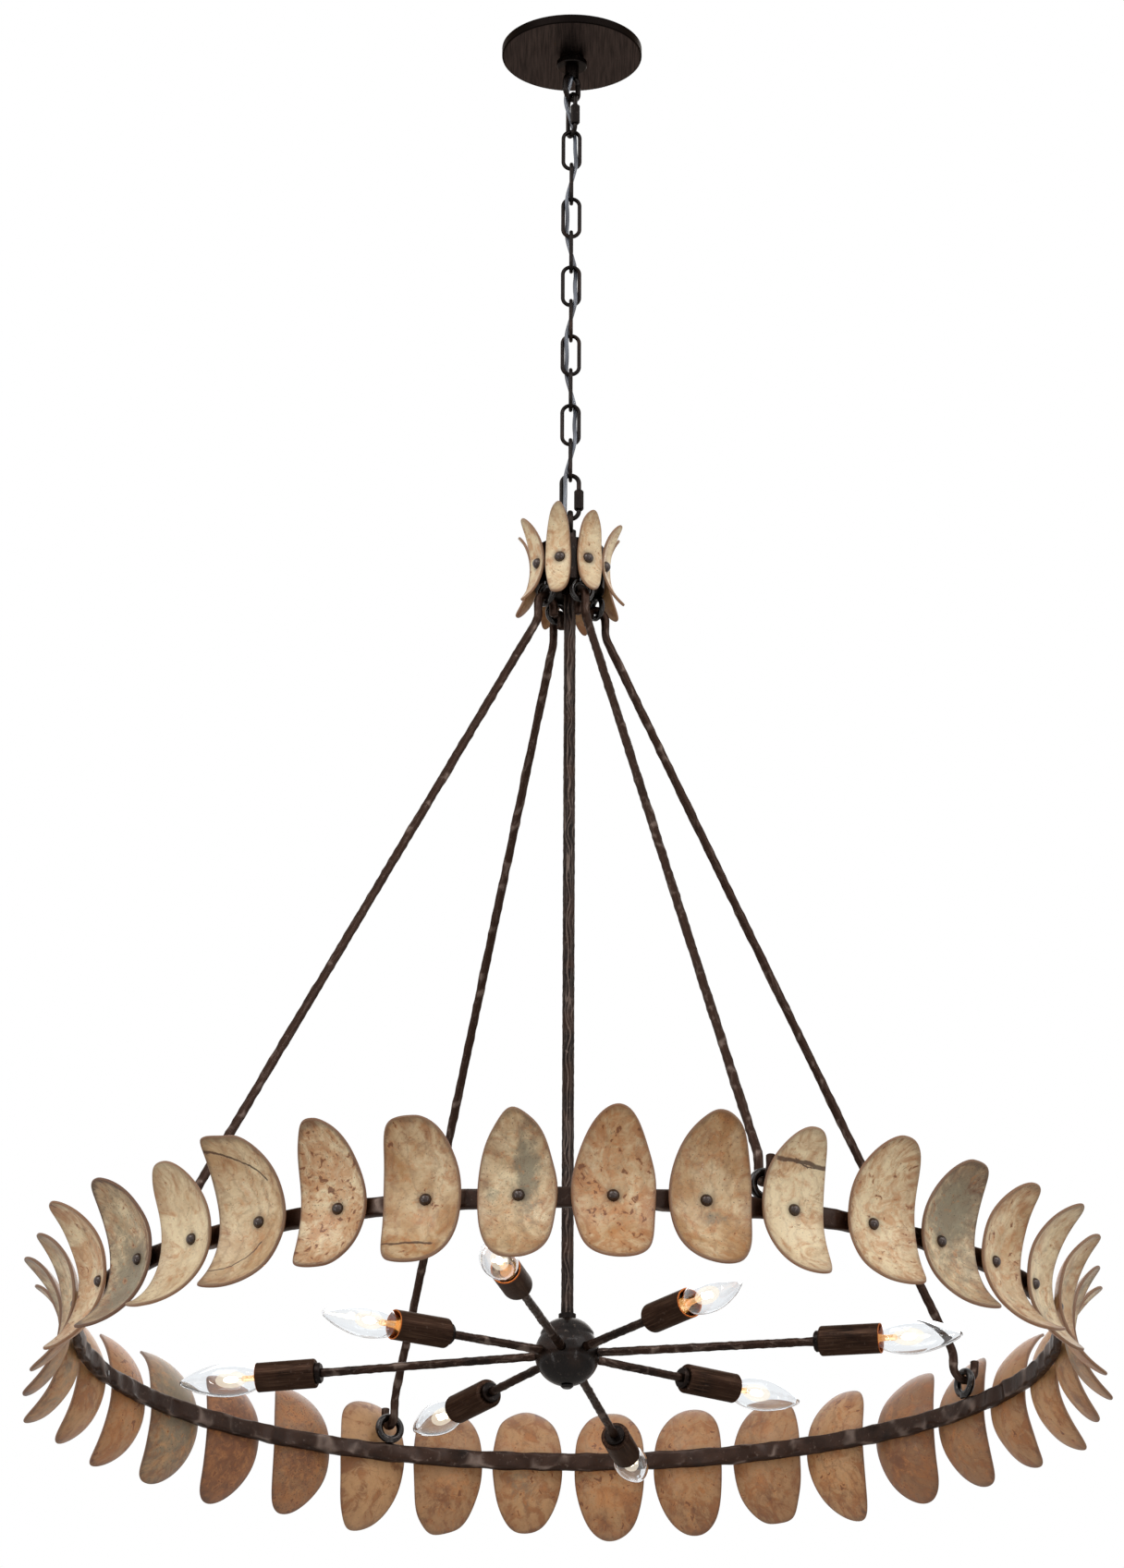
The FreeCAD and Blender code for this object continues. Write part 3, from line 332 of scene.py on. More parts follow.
# Camera: focal length and film height in millimetres, place, turns about X, Y and Z in degrees
LENS, FILM_HEIGHT = 120.88, 36.0
VIEWPOINT = (0.0164, -4.7752, -2.7025)
VIEW_TURNS = (111.5649, -0.2259, 0.1919)


# Sizes and colours that a user may change

def length(label, about, value):
    return bpy.props.FloatProperty(name=label, description=about, default=value, unit="LENGTH",
                                   precision=4)


def share(label, about, value):
    return bpy.props.FloatProperty(name=label, description=about, default=value, min=0.0, max=1.0,
                                   subtype="FACTOR")


def power(label, about, value):
    return bpy.props.FloatProperty(name=label, description=about, default=value, min=0.0,
                                   subtype="POWER", unit="POWER")


def colour(label, about, value):
    return bpy.props.FloatVectorProperty(name=label, description=about, default=value, size=3,
                                         min=0.0, max=1.0, subtype="COLOR_GAMMA")


class ShellSettings(bpy.types.PropertyGroup):
    """Sizes and colours of the shells."""
    width: length("Width", "Nominal width of a ring shell", 72.5 * MM)
    half_height: length("Half height", "Nominal height above or below the rivet", 67.5 * MM)
    ball: length("Curve", "Radius of the round that a ring shell is cut from", 72.5 * MM)
    thickness: length("Thickness", "Thickness of a ring shell", 3 * MM)
    crown_width: length("Crown width", "Nominal width of a crown shell", 26 * MM)
    crown_half_height: length("Crown half height", "Nominal height above or below its rivet", 45 * MM)
    crown_ball: length("Crown curve", "Radius of the round that a crown shell is cut from", 60 * MM)
    crown_thickness: length("Crown thickness", "Thickness of a crown shell", 2.6 * MM)
    hole: length("Hole", "Diameter of the rivet's hole", 5.2 * MM)
    wobble: length("Wobble", "How far an outline strays from its smooth curve", 0.35 * MM)
    cream: colour("Cream", "Palest face colour", (0.93, 0.85, 0.70))
    tan: colour("Tan", "Warm face colour", (0.71, 0.55, 0.37))
    orange: colour("Orange", "Orange clouds", (0.76, 0.50, 0.28))
    grey: colour("Grey", "Weathered patches", (0.45, 0.43, 0.36))
    # Rust also colours the painted shade towards the shells' rims
    rust: colour("Rust", "Rust brown spots and streaks", (0.44, 0.25, 0.13))
    back: colour("Back", "Colour of the backs", (0.74, 0.56, 0.38))
    edge: colour("Edge", "Dark edges and cracks", (0.23, 0.15, 0.10))


class MetalSettings(bpy.types.PropertyGroup):
    """Sizes and colours of the metalwork."""
    ring_radius: length("Ring radius", "Middle of the ring's bar",
                        round((ring_box[1][0] - ring_box[0][0]) / 2, 4) - RING_THICKNESS / 2)
    ring_height: length("Ring height", "Height of the ring's bar", 19 * MM)
    ring_thickness: length("Ring thickness", "Thickness of the ring's bar", RING_THICKNESS)
    rod: length("Rod", "Diameter of the rods", 9.3 * MM)
    arm: length("Arm", "Diameter of the lamp arms", 8.8 * MM)
    stem: length("Stem", "Diameter of the middle stem", 12 * MM)
    ball: length("Ball", "Radius of the middle ball", 30.4 * MM)
    cover: length("Cover", "Diameter of the lamp covers", 28 * MM)
    dark: colour("Dark", "Deep bronze", (0.100, 0.082, 0.076))
    brown: colour("Brown", "Rubbed brown bronze", (0.205, 0.142, 0.112))
    # Worn also paints the highlights along the ridges of the hammered metal
    worn: colour("Worn", "Bright rubbed places", (0.54, 0.47, 0.43))
    # painted light: the copper inside the covers stands for the warm lamp light and the brass cap's
    # reflection
    copper: colour("Copper", "Painted warm lamp light inside the covers", (0.78, 0.45, 0.24))


class StageSettings(bpy.types.PropertyGroup):
    """Light and floor."""
    floor: length("Floor", "Height of the floor", -3.0)
    sky: share("Sky", "Level of the soft light from all round", 0.50)
    lamps: power("Lamps", "Power of the large soft lamps", 44.0)
    strips: power("Strips", "Power of each narrow lamp", 7.0)
    glow: bpy.props.FloatProperty(name="Glow", description="Strength of the lit filaments",
                                  default=9.0, min=0.0)


# Places

def outward(bearing):
    """The level direction away from Z at a bearing."""
    angle = math.radians(bearing)
    return np.array((math.sin(angle), -math.cos(angle), 0.0))


def beside(bearing):
    """The level direction across outward, towards growing bearings."""
    angle = math.radians(bearing)
    return np.array((math.cos(angle), math.sin(angle), 0.0))


def set_at(local, bearing, distance=0.0, level=0.0):
    """Points given as outward, sideways and upward parts, turned to a bearing and moved out and up."""
    return ((local[..., 0:1] + distance) * outward(bearing) + local[..., 1:2] * beside(bearing)
            + (local[..., 2:3] + level) * UP)


def laid_out(local, index):
    """Points of a lamp piece, modelled along Z from the ball's middle, laid along its own arm.

    The piece turns about Y by a right angle less the arm's droop, then to the arm's bearing.
    """
    tip = math.radians(90.0 - ARM_DROOPS[index])
    x, y, z = local[..., 0], local[..., 1], local[..., 2]
    out = x * math.cos(tip) + z * math.sin(tip)
    rise = z * math.cos(tip) - x * math.sin(tip)
    return set_at(np.stack((out, y, rise), axis=-1), ARM_TURNS[index], level=BALL_LEVEL)


def arm_reach(index):
    """Long arms and short ones take turns."""
    return LONG_ARM if index % 2 == 0 else SHORT_ARM


# Surfaces

def surface(name, points, wrap_rows=False, wrap_columns=False, uv=None, marks=None, sharp=50.0):
    """A mesh through a grid of points.

    Corner (i, j) joins (i + 1, j) and (i, j + 1); rows or columns may close on themselves.
    Points that fall together at a pole are merged, and the faces are turned outwards.
    """
    rows, columns = points.shape[:2]
    place = np.arange(rows * columns).reshape(rows, columns)
    down = np.roll(place, -1, axis=0)
    quads = np.stack((place, np.roll(place, -1, axis=1), np.roll(down, -1, axis=1), down), axis=-1)
    row_end = rows if wrap_rows else rows - 1
    column_end = columns if wrap_columns else columns - 1
    quads = quads[:row_end, :column_end].reshape(-1, 4)
    mesh = bpy.data.meshes.new(name)
    mesh.vertices.add(rows * columns)
    mesh.vertices.foreach_set("co", points.reshape(-1).astype(np.float32))
    mesh.loops.add(quads.size)
    mesh.loops.foreach_set("vertex_index", quads.reshape(-1))
    mesh.polygons.add(len(quads))
    mesh.polygons.foreach_set("loop_start", np.arange(len(quads)) * 4)
    mesh.polygons.foreach_set("use_smooth", np.ones(len(quads), bool))
    mesh.update(calc_edges=True)
    if uv is not None:
        i, j = np.meshgrid(np.arange(row_end), np.arange(column_end), indexing="ij")
        corners = np.stack((uv[i, j], uv[i, j + 1], uv[i + 1, j + 1], uv[i + 1, j]), axis=2)
        mesh.uv_layers.new(name="UVMap").data.foreach_set("uv", corners.reshape(-1).astype(np.float32))
    for label, values in (marks or {}).items():
        vector = np.shape(values) == (3,)
        layer = mesh.attributes.new(label, "FLOAT_VECTOR" if vector else "FLOAT", "POINT")
        values = np.broadcast_to(values, (rows, columns, 3) if vector else (rows, columns))
        layer.data.foreach_set("vector" if vector else "value", values.reshape(-1).astype(np.float32))
    merged = bmesh.new()
    merged.from_mesh(mesh)
    bmesh.ops.remove_doubles(merged, verts=merged.verts, dist=1e-6)
    bmesh.ops.recalc_face_normals(merged, faces=merged.faces)
    merged.to_mesh(mesh)
    merged.free()
    mesh.set_sharp_from_angle(angle=math.radians(sharp))
    return mesh


def shown(name, mesh, material, slot, *nodes):
    """A visible piece in its finish, with its slot and the frame's nodes that it stands for."""
    made = bpy.data.objects.new(name, mesh)
    bpy.context.scene.collection.objects.link(made)
    mesh.materials.append(material)
    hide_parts(*nodes)
    return made


def piece(name, mesh, material, body, slot, *nodes):
    """A visible piece that rides one body."""
    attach(shown(name, mesh, material, slot, *nodes), body)


def ripple(across, along, seed, turns, runs, count):
    """A sum of cosines over two angles, each with whole turns of both, so it closes on itself."""
    chance = np.random.default_rng(seed)
    total = np.zeros(np.broadcast(across, along).shape)
    for _ in range(count):
        a = chance.integers(turns[0], turns[1] + 1) * chance.choice((-1, 1))
        b = chance.integers(runs[0], runs[1] + 1)
        total += np.cos(a * across + b * along + chance.uniform(0, TURN))
    return total / math.sqrt(count)


def dents(across, along, width, run, seed, size, spacing):
    """Shallow hammer dents on a sheet that closes across: at each point the deepest dent, each
    one less the square of its distance over its size."""
    chance = np.random.default_rng(seed)
    count = int(width * run / spacing ** 2)
    spots = chance.uniform((0, 0), (width, run), (count, 2))
    spread = chance.uniform(0.6, 1.25, count) * size
    depth = np.zeros(np.broadcast(across, along).shape)
    for (u, v), reach in zip(spots, spread):
        du = np.abs(across - u)
        du = np.minimum(du, width - du)
        dv = np.abs(along - v)
        dv = np.minimum(dv, run - dv)
        depth = np.maximum(depth, (reach / size) * (1 - (du ** 2 + dv ** 2) / reach ** 2))
    return depth


def ridges(depth):
    """One where hammer dents meet, nought inside them."""
    return np.clip((0.50 - depth) / 0.40, 0, 1)


def squared(values, power):
    """Sines or cosines raised to a power with their sign kept, which squares a round's corners."""
    return np.sign(values) * np.abs(values) ** power


def heading(path):
    """The unit direction of a path at each of its points."""
    ahead = np.gradient(path, axis=0)
    return ahead / np.linalg.norm(ahead, axis=1, keepdims=True)


def travel(line):
    """How far along a line each of its points lies."""
    return np.concatenate(((0,), np.cumsum(np.linalg.norm(np.diff(line, axis=0), axis=1))))


def unrolled(width, columns, rows):
    """A map for a grid that closes across: even steps over a width, and a length for every row."""
    u, v = np.meshgrid(np.linspace(0, width, columns + 1), rows)
    return np.stack((u, v), axis=-1)


def carried(path, across, third, radius, angles):
    """A round carried along a path: each point less its ring's middle is the radius times the
    cosine on the first axis across the path and the sine on the second.

    radius is a grid of rings by angles.
    """
    ring = np.cos(angles)[:, None] * across[:, None, :] + np.sin(angles)[:, None] * third[:, None, :]
    return path[:, None, :] + radius[..., None] * ring


def axes_about(path):
    """Two axes across a line in space at each point, the first as near to X as it can be."""
    ahead = heading(path)
    across = np.array((1.0, 0.0, 0.0)) - ahead * ahead[:, 0:1]
    weak = np.linalg.norm(across, axis=1, keepdims=True)
    across = np.where(weak > 0.05, across, SIDEWAYS)
    across /= np.linalg.norm(across, axis=1, keepdims=True)
    return across, np.cross(ahead, across)


def capped(path, radius, cap):
    """Adds three rings at both ends, which close over in a low dome."""
    first = path[0] - path[1]
    last = path[-1] - path[-2]
    first = first / np.linalg.norm(first) * cap
    last = last / np.linalg.norm(last) * cap
    path = np.vstack((path[0] + first, path[0] + first * 0.8, path[0] + first * 0.4, path,
                      path[-1] + last * 0.4, path[-1] + last * 0.8, path[-1] + last))
    radius = np.vstack((radius[:1] * 0, radius[:1] * 0.5, radius[:1] * 0.85, radius,
                        radius[-1:] * 0.85, radius[-1:] * 0.5, radius[-1:] * 0))
    return path, radius


def ends_shut(grid):
    """A grid with the three extra rows at both ends that capped adds."""
    return np.vstack((grid[:1],) * 3 + (grid,) + (grid[-1:],) * 3)


def bar_mesh(name, path, radius, angles, cap, place, bright, run, shift=0.0):
    """A round bar along a path that lies outward and upward, with domed ends, then placed.

    bright marks the ridges that are rubbed, on the grid of rings by angles that radius has.
    """
    path, radius = capped(path, radius, cap)
    side = np.cross(SIDEWAYS, heading(path))
    points = carried(path, side, np.broadcast_to(SIDEWAYS, path.shape), radius, angles)
    uv = unrolled(1, len(angles), np.linspace(0, run * MAP_SCALE, len(path)) + shift)
    return surface(name, place(points), wrap_columns=True, uv=uv, marks={"rubbed_and_highlit_ridge": ends_shut(bright)})


def turned_piece(name, profile, count, place, marks=None):
    """A profile of radius and height turned about Z, then placed."""
    profile = np.asarray(profile, float)
    angles = np.linspace(0, TURN, count, endpoint=False)
    radius, height = profile[:, 0:1], np.broadcast_to(profile[:, 1:2], (len(profile), count))
    points = np.stack((radius * np.cos(angles), radius * np.sin(angles), height), axis=-1)
    uv = unrolled(1, count, travel(profile) * MAP_SCALE)
    return surface(name, place(points), wrap_columns=True, uv=uv, marks=marks)


def wire_mesh(name, path, radius, sides, place):
    """A thin wire carried along a line in space, shut at its first and last point, then placed."""
    radii = np.full((len(path), 1), radius)
    radii[[0, -1]] = 0
    angles = np.linspace(0, TURN, sides, endpoint=False)
    return surface(name, place(carried(path, *axes_about(path), radii, angles)), wrap_columns=True)


# Nodes

def linear(rgb, alpha=1.0):
    """The linear colour of a colour that is written as it shows on screen."""
    rgb = np.asarray(rgb, float)
    flat = np.where(rgb <= 0.04045, rgb / 12.92, ((rgb + 0.055) / 1.055) ** 2.4)
    return (*flat, alpha)


def add(tree, kind, inputs=None, **settings):
    """A node of a kind; each input is set to a value or linked to an output."""
    made = tree.nodes.new("ShaderNode" + kind)
    for label, value in settings.items():
        setattr(made, label, value)
    for label, value in (inputs or {}).items():
        socket = made.inputs[label]
        if isinstance(value, bpy.types.NodeSocket):
            tree.links.new(value, socket)
        else:
            socket.default_value = value
    return made


def maths(tree, operation, *values, clamp=False):
    return add(tree, "Math", dict(enumerate(values)), operation=operation, use_clamp=clamp).outputs[0]


def vectors(tree, operation, *values, out=0):
    return add(tree, "VectorMath", dict(enumerate(values)), operation=operation).outputs[out]


def mixed(tree, factor, first, second, blend="MIX"):
    """The mix of two colours; its colour sockets are found by number."""
    values = {0: factor, 6: first, 7: second}
    return add(tree, "Mix", values, data_type="RGBA", blend_type=blend).outputs[2]


def layered(tree, shade, given, *layers):
    """A group's colours laid one over another, each where its mask is and at its strength."""
    for mask, strength, label in layers:
        shade = mixed(tree, maths(tree, "MULTIPLY", mask, strength), shade, given[label])
    return shade


def between(tree, value, low, high):
    """Nought below low, one above high and smooth between; the other way where low is greater."""
    return add(tree, "MapRange", {"Value": value, "From Min": low, "From Max": high},
               interpolation_type="SMOOTHSTEP").outputs[0]


def noise(tree, vector, scale, detail=4.0, rough=0.55, distortion=0.0):
    """Soft noise between nought and one."""
    return add(tree, "TexNoise", {"Vector": vector, "Scale": scale, "Detail": detail,
                                  "Roughness": rough, "Distortion": distortion}).outputs[0]


def stretched(tree, vector, x, y, z):
    """A place scaled along its three axes, so that a pattern on it runs in streaks."""
    return add(tree, "Mapping", {"Vector": vector, "Scale": (x, y, z)}).outputs[0]


def group(name, inputs, outputs):
    """A shader node group whose sockets are named under their kinds.

    Returns its tree, its inputs and its outputs.
    """
    tree = bpy.data.node_groups.new(name, "ShaderNodeTree")
    for way, sockets in (("INPUT", inputs), ("OUTPUT", outputs)):
        for kind, labels in sockets.items():
            for label in labels.split():
                tree.interface.new_socket(label, in_out=way, socket_type="NodeSocket" + kind)
    return tree, tree.nodes.new("NodeGroupInput").outputs, tree.nodes.new("NodeGroupOutput").inputs


def placed_group(tree, build, inputs):
    """The group that build makes, made once, placed in a material with its own values."""
    name = build.__name__.replace("_", " ").capitalize()
    made = tree.nodes.new("ShaderNodeGroup")
    made.node_tree = bpy.data.node_groups.get(name) or build(name)
    for label, value in inputs.items():
        if isinstance(value, bpy.types.NodeSocket):
            tree.links.new(value, made.inputs[label])
        else:
            made.inputs[label].default_value = value
    return made.outputs


def hammer_marks(name):
    """Flat dents with soft ridges between them: smooth cells on a vector that noise has bent."""
    tree, given, made = group(name, {"Vector": "Vector", "Float": "Scale"}, {"Float": "Height"})
    vector = given["Vector"]
    bend = add(tree, "TexNoise", {"Vector": vector, "Scale": 60.0, "Detail": 2.0}).outputs[1]
    bent = vectors(tree, "MULTIPLY_ADD", bend, (0.012, 0.012, 0.012), vector)
    cells = add(tree, "TexVoronoi", {"Vector": bent, "Scale": given["Scale"], "Smoothness": 0.6},
                feature="SMOOTH_F1").outputs["Distance"]
    grit = noise(tree, vector, 700.0, 3.0)
    tree.links.new(maths(tree, "MULTIPLY_ADD", grit, 0.18, cells), made["Height"])
    return tree


def bronze_patina(name):
    """Dark bronze, browner in broad patches, rubbed bright in small ones."""
    tree, given, made = group(
        name, {"Vector": "Vector", "Color": "Dark Brown Worn", "Float": "Brownness Wear"},
        {"Color": "Color", "Float": "Roughness"})
    broad = noise(tree, given["Vector"], 26.0, 5.0, 0.6)
    broad = maths(tree, "ADD", broad, maths(tree, "MULTIPLY", given["Brownness"], 0.4))
    patch = between(tree, broad, 0.52, 0.86)
    fine = noise(tree, given["Vector"], 240.0, 4.0, 0.7)
    rubbed = maths(tree, "MULTIPLY", between(tree, fine, 0.58, 0.74), given["Wear"])
    base = mixed(tree, patch, given["Dark"], given["Brown"])
    tree.links.new(mixed(tree, rubbed, base, given["Worn"]), made["Color"])
    rough = maths(tree, "MULTIPLY_ADD", fine, 0.30, 0.22)
    tree.links.new(maths(tree, "MULTIPLY_ADD", patch, 0.10, rough), made["Roughness"])
    return tree


def crack(name):
    """A dark line on part of a circle: Place holds the circle's middle and radius, Run the
    direction of the crack's middle and the cosine of half its spread."""
    tree, given, made = group(name, {"Vector": "Vector Place Run", "Float": "Width"},
                              {"Float": "Mask"})
    place = add(tree, "SeparateXYZ", {0: given["Place"]}).outputs
    run = add(tree, "SeparateXYZ", {0: given["Run"]}).outputs
    middle = add(tree, "CombineXYZ", {0: place[0], 1: place[1]}).outputs[0]
    aim = add(tree, "CombineXYZ", {0: run[0], 1: run[1]}).outputs[0]
    arm = vectors(tree, "SUBTRACT", given["Vector"], middle)
    reach = vectors(tree, "LENGTH", arm, out="Value")
    sway = maths(tree, "MULTIPLY_ADD", noise(tree, given["Vector"], 9.0, 4.0, 0.6), 0.05, -0.025)
    off = maths(tree, "ABSOLUTE", maths(tree, "ADD", maths(tree, "SUBTRACT", reach, place[2]), sway))
    line = between(tree, off, given["Width"], maths(tree, "MULTIPLY", given["Width"], 0.45))
    along = vectors(tree, "DOT_PRODUCT", vectors(tree, "NORMALIZE", arm), aim, out="Value")
    ends = between(tree, along, run[2], maths(tree, "ADD", run[2], 0.008))
    tree.links.new(maths(tree, "MULTIPLY", line, ends), made["Mask"])
    return tree


def shell_face(name):
    """Cream shell that turns tan, orange, grey and rusty in clouds, with spots, lines and cracks.

    Every mask comes from noise and a value of the shell's own; the colours are then laid one over
    another, from the broad clouds to the dark edge and the halo about the rivet.
    """
    tree, given, made = group(
        name, {"Vector": "Vector", "Color": " ".join(SHELL_TINTS),
               "Float": " ".join(SHELL_MARKS) + " Cracks"},
        {"Color": "Color", "Float": "Roughness Height"})
    vector, tone, behind = given["Vector"], given["Tone"], given["Behind"]
    cloud = noise(tree, vector, 2.6, 6.0, 0.60, 0.9)
    drift = noise(tree, vector, 6.0, 6.0, 0.66, 1.2)
    patchy = noise(tree, vector, 11.0, 6.0, 0.74, 0.5)
    where = noise(tree, vector, 3.4, 2.0)
    grain = noise(tree, vector, 46.0, 4.0, 0.7)

    tan = maths(tree, "ADD", tone, maths(tree, "MULTIPLY_ADD", cloud, 2.6, -1.30), clamp=True)
    front = maths(tree, "MULTIPLY_ADD", behind, -0.85, 1.0)
    dusk = maths(tree, "MULTIPLY_ADD", drift, 0.6, maths(tree, "MULTIPLY", cloud, 0.4))
    dusk = between(tree, dusk, 0.48, 0.60)
    warm = between(tree, maths(tree, "MULTIPLY_ADD", given["Rustiness"], 0.16, drift), 0.50, 0.74)
    lines = add(tree, "TexWave", {"Vector": vector, "Scale": 2.1, "Distortion": 11.0, "Detail": 4.0,
                                  "Detail Scale": 1.4, "Detail Roughness": 0.65}).outputs["Fac"]
    lines = maths(tree, "MULTIPLY", maths(tree, "POWER", lines, 6.0), given["Flow"])
    moss = maths(tree, "MULTIPLY", given["Moss"], 0.42)
    weathered = maths(tree, "MULTIPLY_ADD", patchy, 0.7, maths(tree, "MULTIPLY", cloud, 0.3))
    grey = maths(tree, "MULTIPLY_ADD", given["Greyness"], 0.34, moss)
    grey = between(tree, maths(tree, "ADD", weathered, grey), 0.60, 0.92)
    burn = between(tree, maths(tree, "MULTIPLY_ADD", given["Burn"], 0.40, patchy), 0.60, 0.92)
    rusty = maths(tree, "MULTIPLY", given["Rustiness"], 0.16)
    spots = maths(tree, "ADD", noise(tree, vector, 15.0, 3.0, 0.5, 0.6),
                  maths(tree, "MULTIPLY_ADD", where, 0.34, rusty))
    speck = maths(tree, "MULTIPLY_ADD", given["Specks"], 0.14, noise(tree, vector, 60.0, 2.0, 0.5))
    vein = maths(tree, "SUBTRACT", noise(tree, vector, 3.6, 5.0, 0.55, 1.6), 0.5)
    vein = between(tree, maths(tree, "ABSOLUTE", vein), 0.008, 0.002)
    vein = maths(tree, "MULTIPLY", vein, between(tree, where, 0.46, 0.62))
    scratch = noise(tree, stretched(tree, vector, 9.0, 70.0, 1.0), 1.0, 3.0, 0.6)
    scratch = between(tree, scratch, 0.62, 0.72)
    fine = maths(tree, "MULTIPLY_ADD", grain, 0.34, 0.83)
    # painted shade: a rust brown that grows towards the rim, the shading of the hollow
    painted_bowl_shade = maths(tree, "ADD", given["Rim"], maths(tree, "MULTIPLY_ADD", drift, 0.9, -0.45))
    frayed = maths(tree, "ADD", given["Rim"], maths(tree, "MULTIPLY_ADD", patchy, 0.16, -0.08))

    browned = maths(tree, "MULTIPLY_ADD", tone, 1.5, -0.45, clamp=True)
    shade = mixed(tree, behind, given["Cream"], mixed(tree, browned, given["Back"], given["Rust"]))
    shade = layered(
        tree, shade, given, (tan, front, "Tan"), (dusk, maths(tree, "MULTIPLY", behind, 0.80), "Rust"),
        (warm, 0.62, "Orange"), (lines, 0.40, "Rust"), (grey, 0.78, "Grey"), (burn, 0.80, "Rust"),
        (between(tree, spots, 0.80, 0.92), 0.45, "Orange"),
        (between(tree, spots, 0.91, 0.96), 0.85, "Rust"),
        (between(tree, speck, 0.71, 0.77), 0.70, "Edge"), (vein, 0.60, "Rust"),
        (scratch, 0.26, "Rust"), (given["Cracks"], 0.88, "Edge"))
    fine = add(tree, "CombineColor", {0: fine, 1: fine, 2: fine}).outputs[0]
    shade = mixed(tree, 1.0, shade, fine, "MULTIPLY")
    shade = layered(
        # painted shade towards the rim
        tree, shade, given, (between(tree, painted_bowl_shade, 0.55, 1.15), 0.42, "Rust"),
        (between(tree, frayed, 0.93, 0.99), given["Edging"], "Edge"),
        (given["Lip"], maths(tree, "MULTIPLY_ADD", patchy, 0.8, 0.05), "Rust"),
        (given["Halo"], 0.50, "Edge"))

    tree.links.new(shade, made["Color"])
    tree.links.new(maths(tree, "MULTIPLY_ADD", grain, 0.25, 0.36), made["Roughness"])
    height = maths(tree, "MULTIPLY_ADD", grain, 0.30, maths(tree, "MULTIPLY_ADD", drift, 0.5, cloud))
    height = maths(tree, "SUBTRACT", height, maths(tree, "MULTIPLY", lines, 0.25))
    cuts = maths(tree, "ADD", maths(tree, "MULTIPLY_ADD", vein, 0.4, given["Cracks"]),
                 maths(tree, "MULTIPLY", scratch, 0.2))
    tree.links.new(maths(tree, "SUBTRACT", height, cuts), made["Height"])
    return tree


def material(name, **values):
    """An empty node material; returns it, its tree and its shader with plain values set."""
    made = bpy.data.materials.new(name)
    made.use_nodes = True
    tree = made.node_tree
    tree.nodes.clear()
    shader = add(tree, "BsdfPrincipled", {key.replace("_", " "): value for key, value in values.items()})
    out = tree.nodes.new("ShaderNodeOutputMaterial")
    tree.links.new(shader.outputs[0], out.inputs["Surface"])
    return made, tree, shader


def feed(tree, shader, **outputs):
    """Links outputs to the shader's sockets."""
    for label, value in outputs.items():
        tree.links.new(value, shader.inputs[label.replace("_", " ")])


def bumped(tree, height, strength, distance):
    """A normal that a height bends."""
    return add(tree, "Bump", {"Height": height, "Strength": strength, "Distance": distance}).outputs[0]


def spot(tree):
    """The place on the piece, in metres."""
    return add(tree, "TexCoord").outputs["Object"]


def laid(tree):
    """The place on the piece's own map."""
    return add(tree, "TexCoord").outputs["UV"]


def mark(tree, label, kind="Fac"):
    """A value that the piece's mesh carries."""
    return add(tree, "Attribute", attribute_type="GEOMETRY", attribute_name=label).outputs[kind]


EDGE_TINT = (0.55, 0.52, 0.50, 1.0)


def patina(tree, where, brownness, wear):
    """The bronze patina in the user's colours."""
    looks = bpy.context.scene.chandelier_metal
    return placed_group(tree, bronze_patina, {
        "Vector": where, "Dark": linear(looks.dark), "Brown": linear(looks.brown),
        "Worn": linear(looks.worn), "Brownness": brownness, "Wear": wear})


def bronze(name, brownness, wear, hammer, relief, depth, coat):
    """Dark hammered bronze, rubbed bright along the ridges that the piece marks."""
    made, tree, shader = material(name, Metallic=1.0, Specular_Tint=EDGE_TINT, Coat_Weight=coat,
                                  Coat_Roughness=0.18)
    where = spot(tree)
    skin = patina(tree, where, brownness, wear)
    marks = placed_group(tree, hammer_marks, {"Vector": where, "Scale": hammer})
    uneven = maths(tree, "MULTIPLY_ADD", marks["Height"], 0.9, 0.1)
    # the worn colour along the marked ridges: rubbed metal and painted highlights
    rubbed = maths(tree, "MULTIPLY", maths(tree, "MULTIPLY", mark(tree, "rubbed_and_highlit_ridge"), uneven), 0.75)
    worn = linear(bpy.context.scene.chandelier_metal.worn)
    feed(tree, shader, Base_Color=mixed(tree, rubbed, skin["Color"], worn),
         Roughness=skin["Roughness"], Normal=bumped(tree, marks["Height"], relief, depth))
    return made


def drawn_bronze(name, brownness, wear, turns, runs, relief):
    """Bronze with a lengthwise grain that follows the piece's own map."""
    made, tree, shader = material(name, Metallic=1.0, Specular_Tint=EDGE_TINT, Coat_Weight=0.10,
                                  Coat_Roughness=0.18)
    skin = patina(tree, spot(tree), brownness, wear)
    grain = noise(tree, stretched(tree, laid(tree), turns, runs, 1.0), 1.0, 5.0, 0.6, 0.8)
    streak = maths(tree, "MULTIPLY", between(tree, grain, 0.54, 0.70), wear)
    # the worn colour along the marked ridges: rubbed metal and painted highlights
    rubbed_and_highlit_ridge = maths(tree, "MULTIPLY", mark(tree, "rubbed_and_highlit_ridge"), maths(tree, "MULTIPLY", grain, 0.8))
    worn = linear(bpy.context.scene.chandelier_metal.worn)
    base = mixed(tree, maths(tree, "MAXIMUM", streak, rubbed_and_highlit_ridge), skin["Color"], worn)
    feed(tree, shader, Base_Color=base, Roughness=skin["Roughness"],
         Normal=bumped(tree, grain, strength=relief, distance=0.0012))
    return made


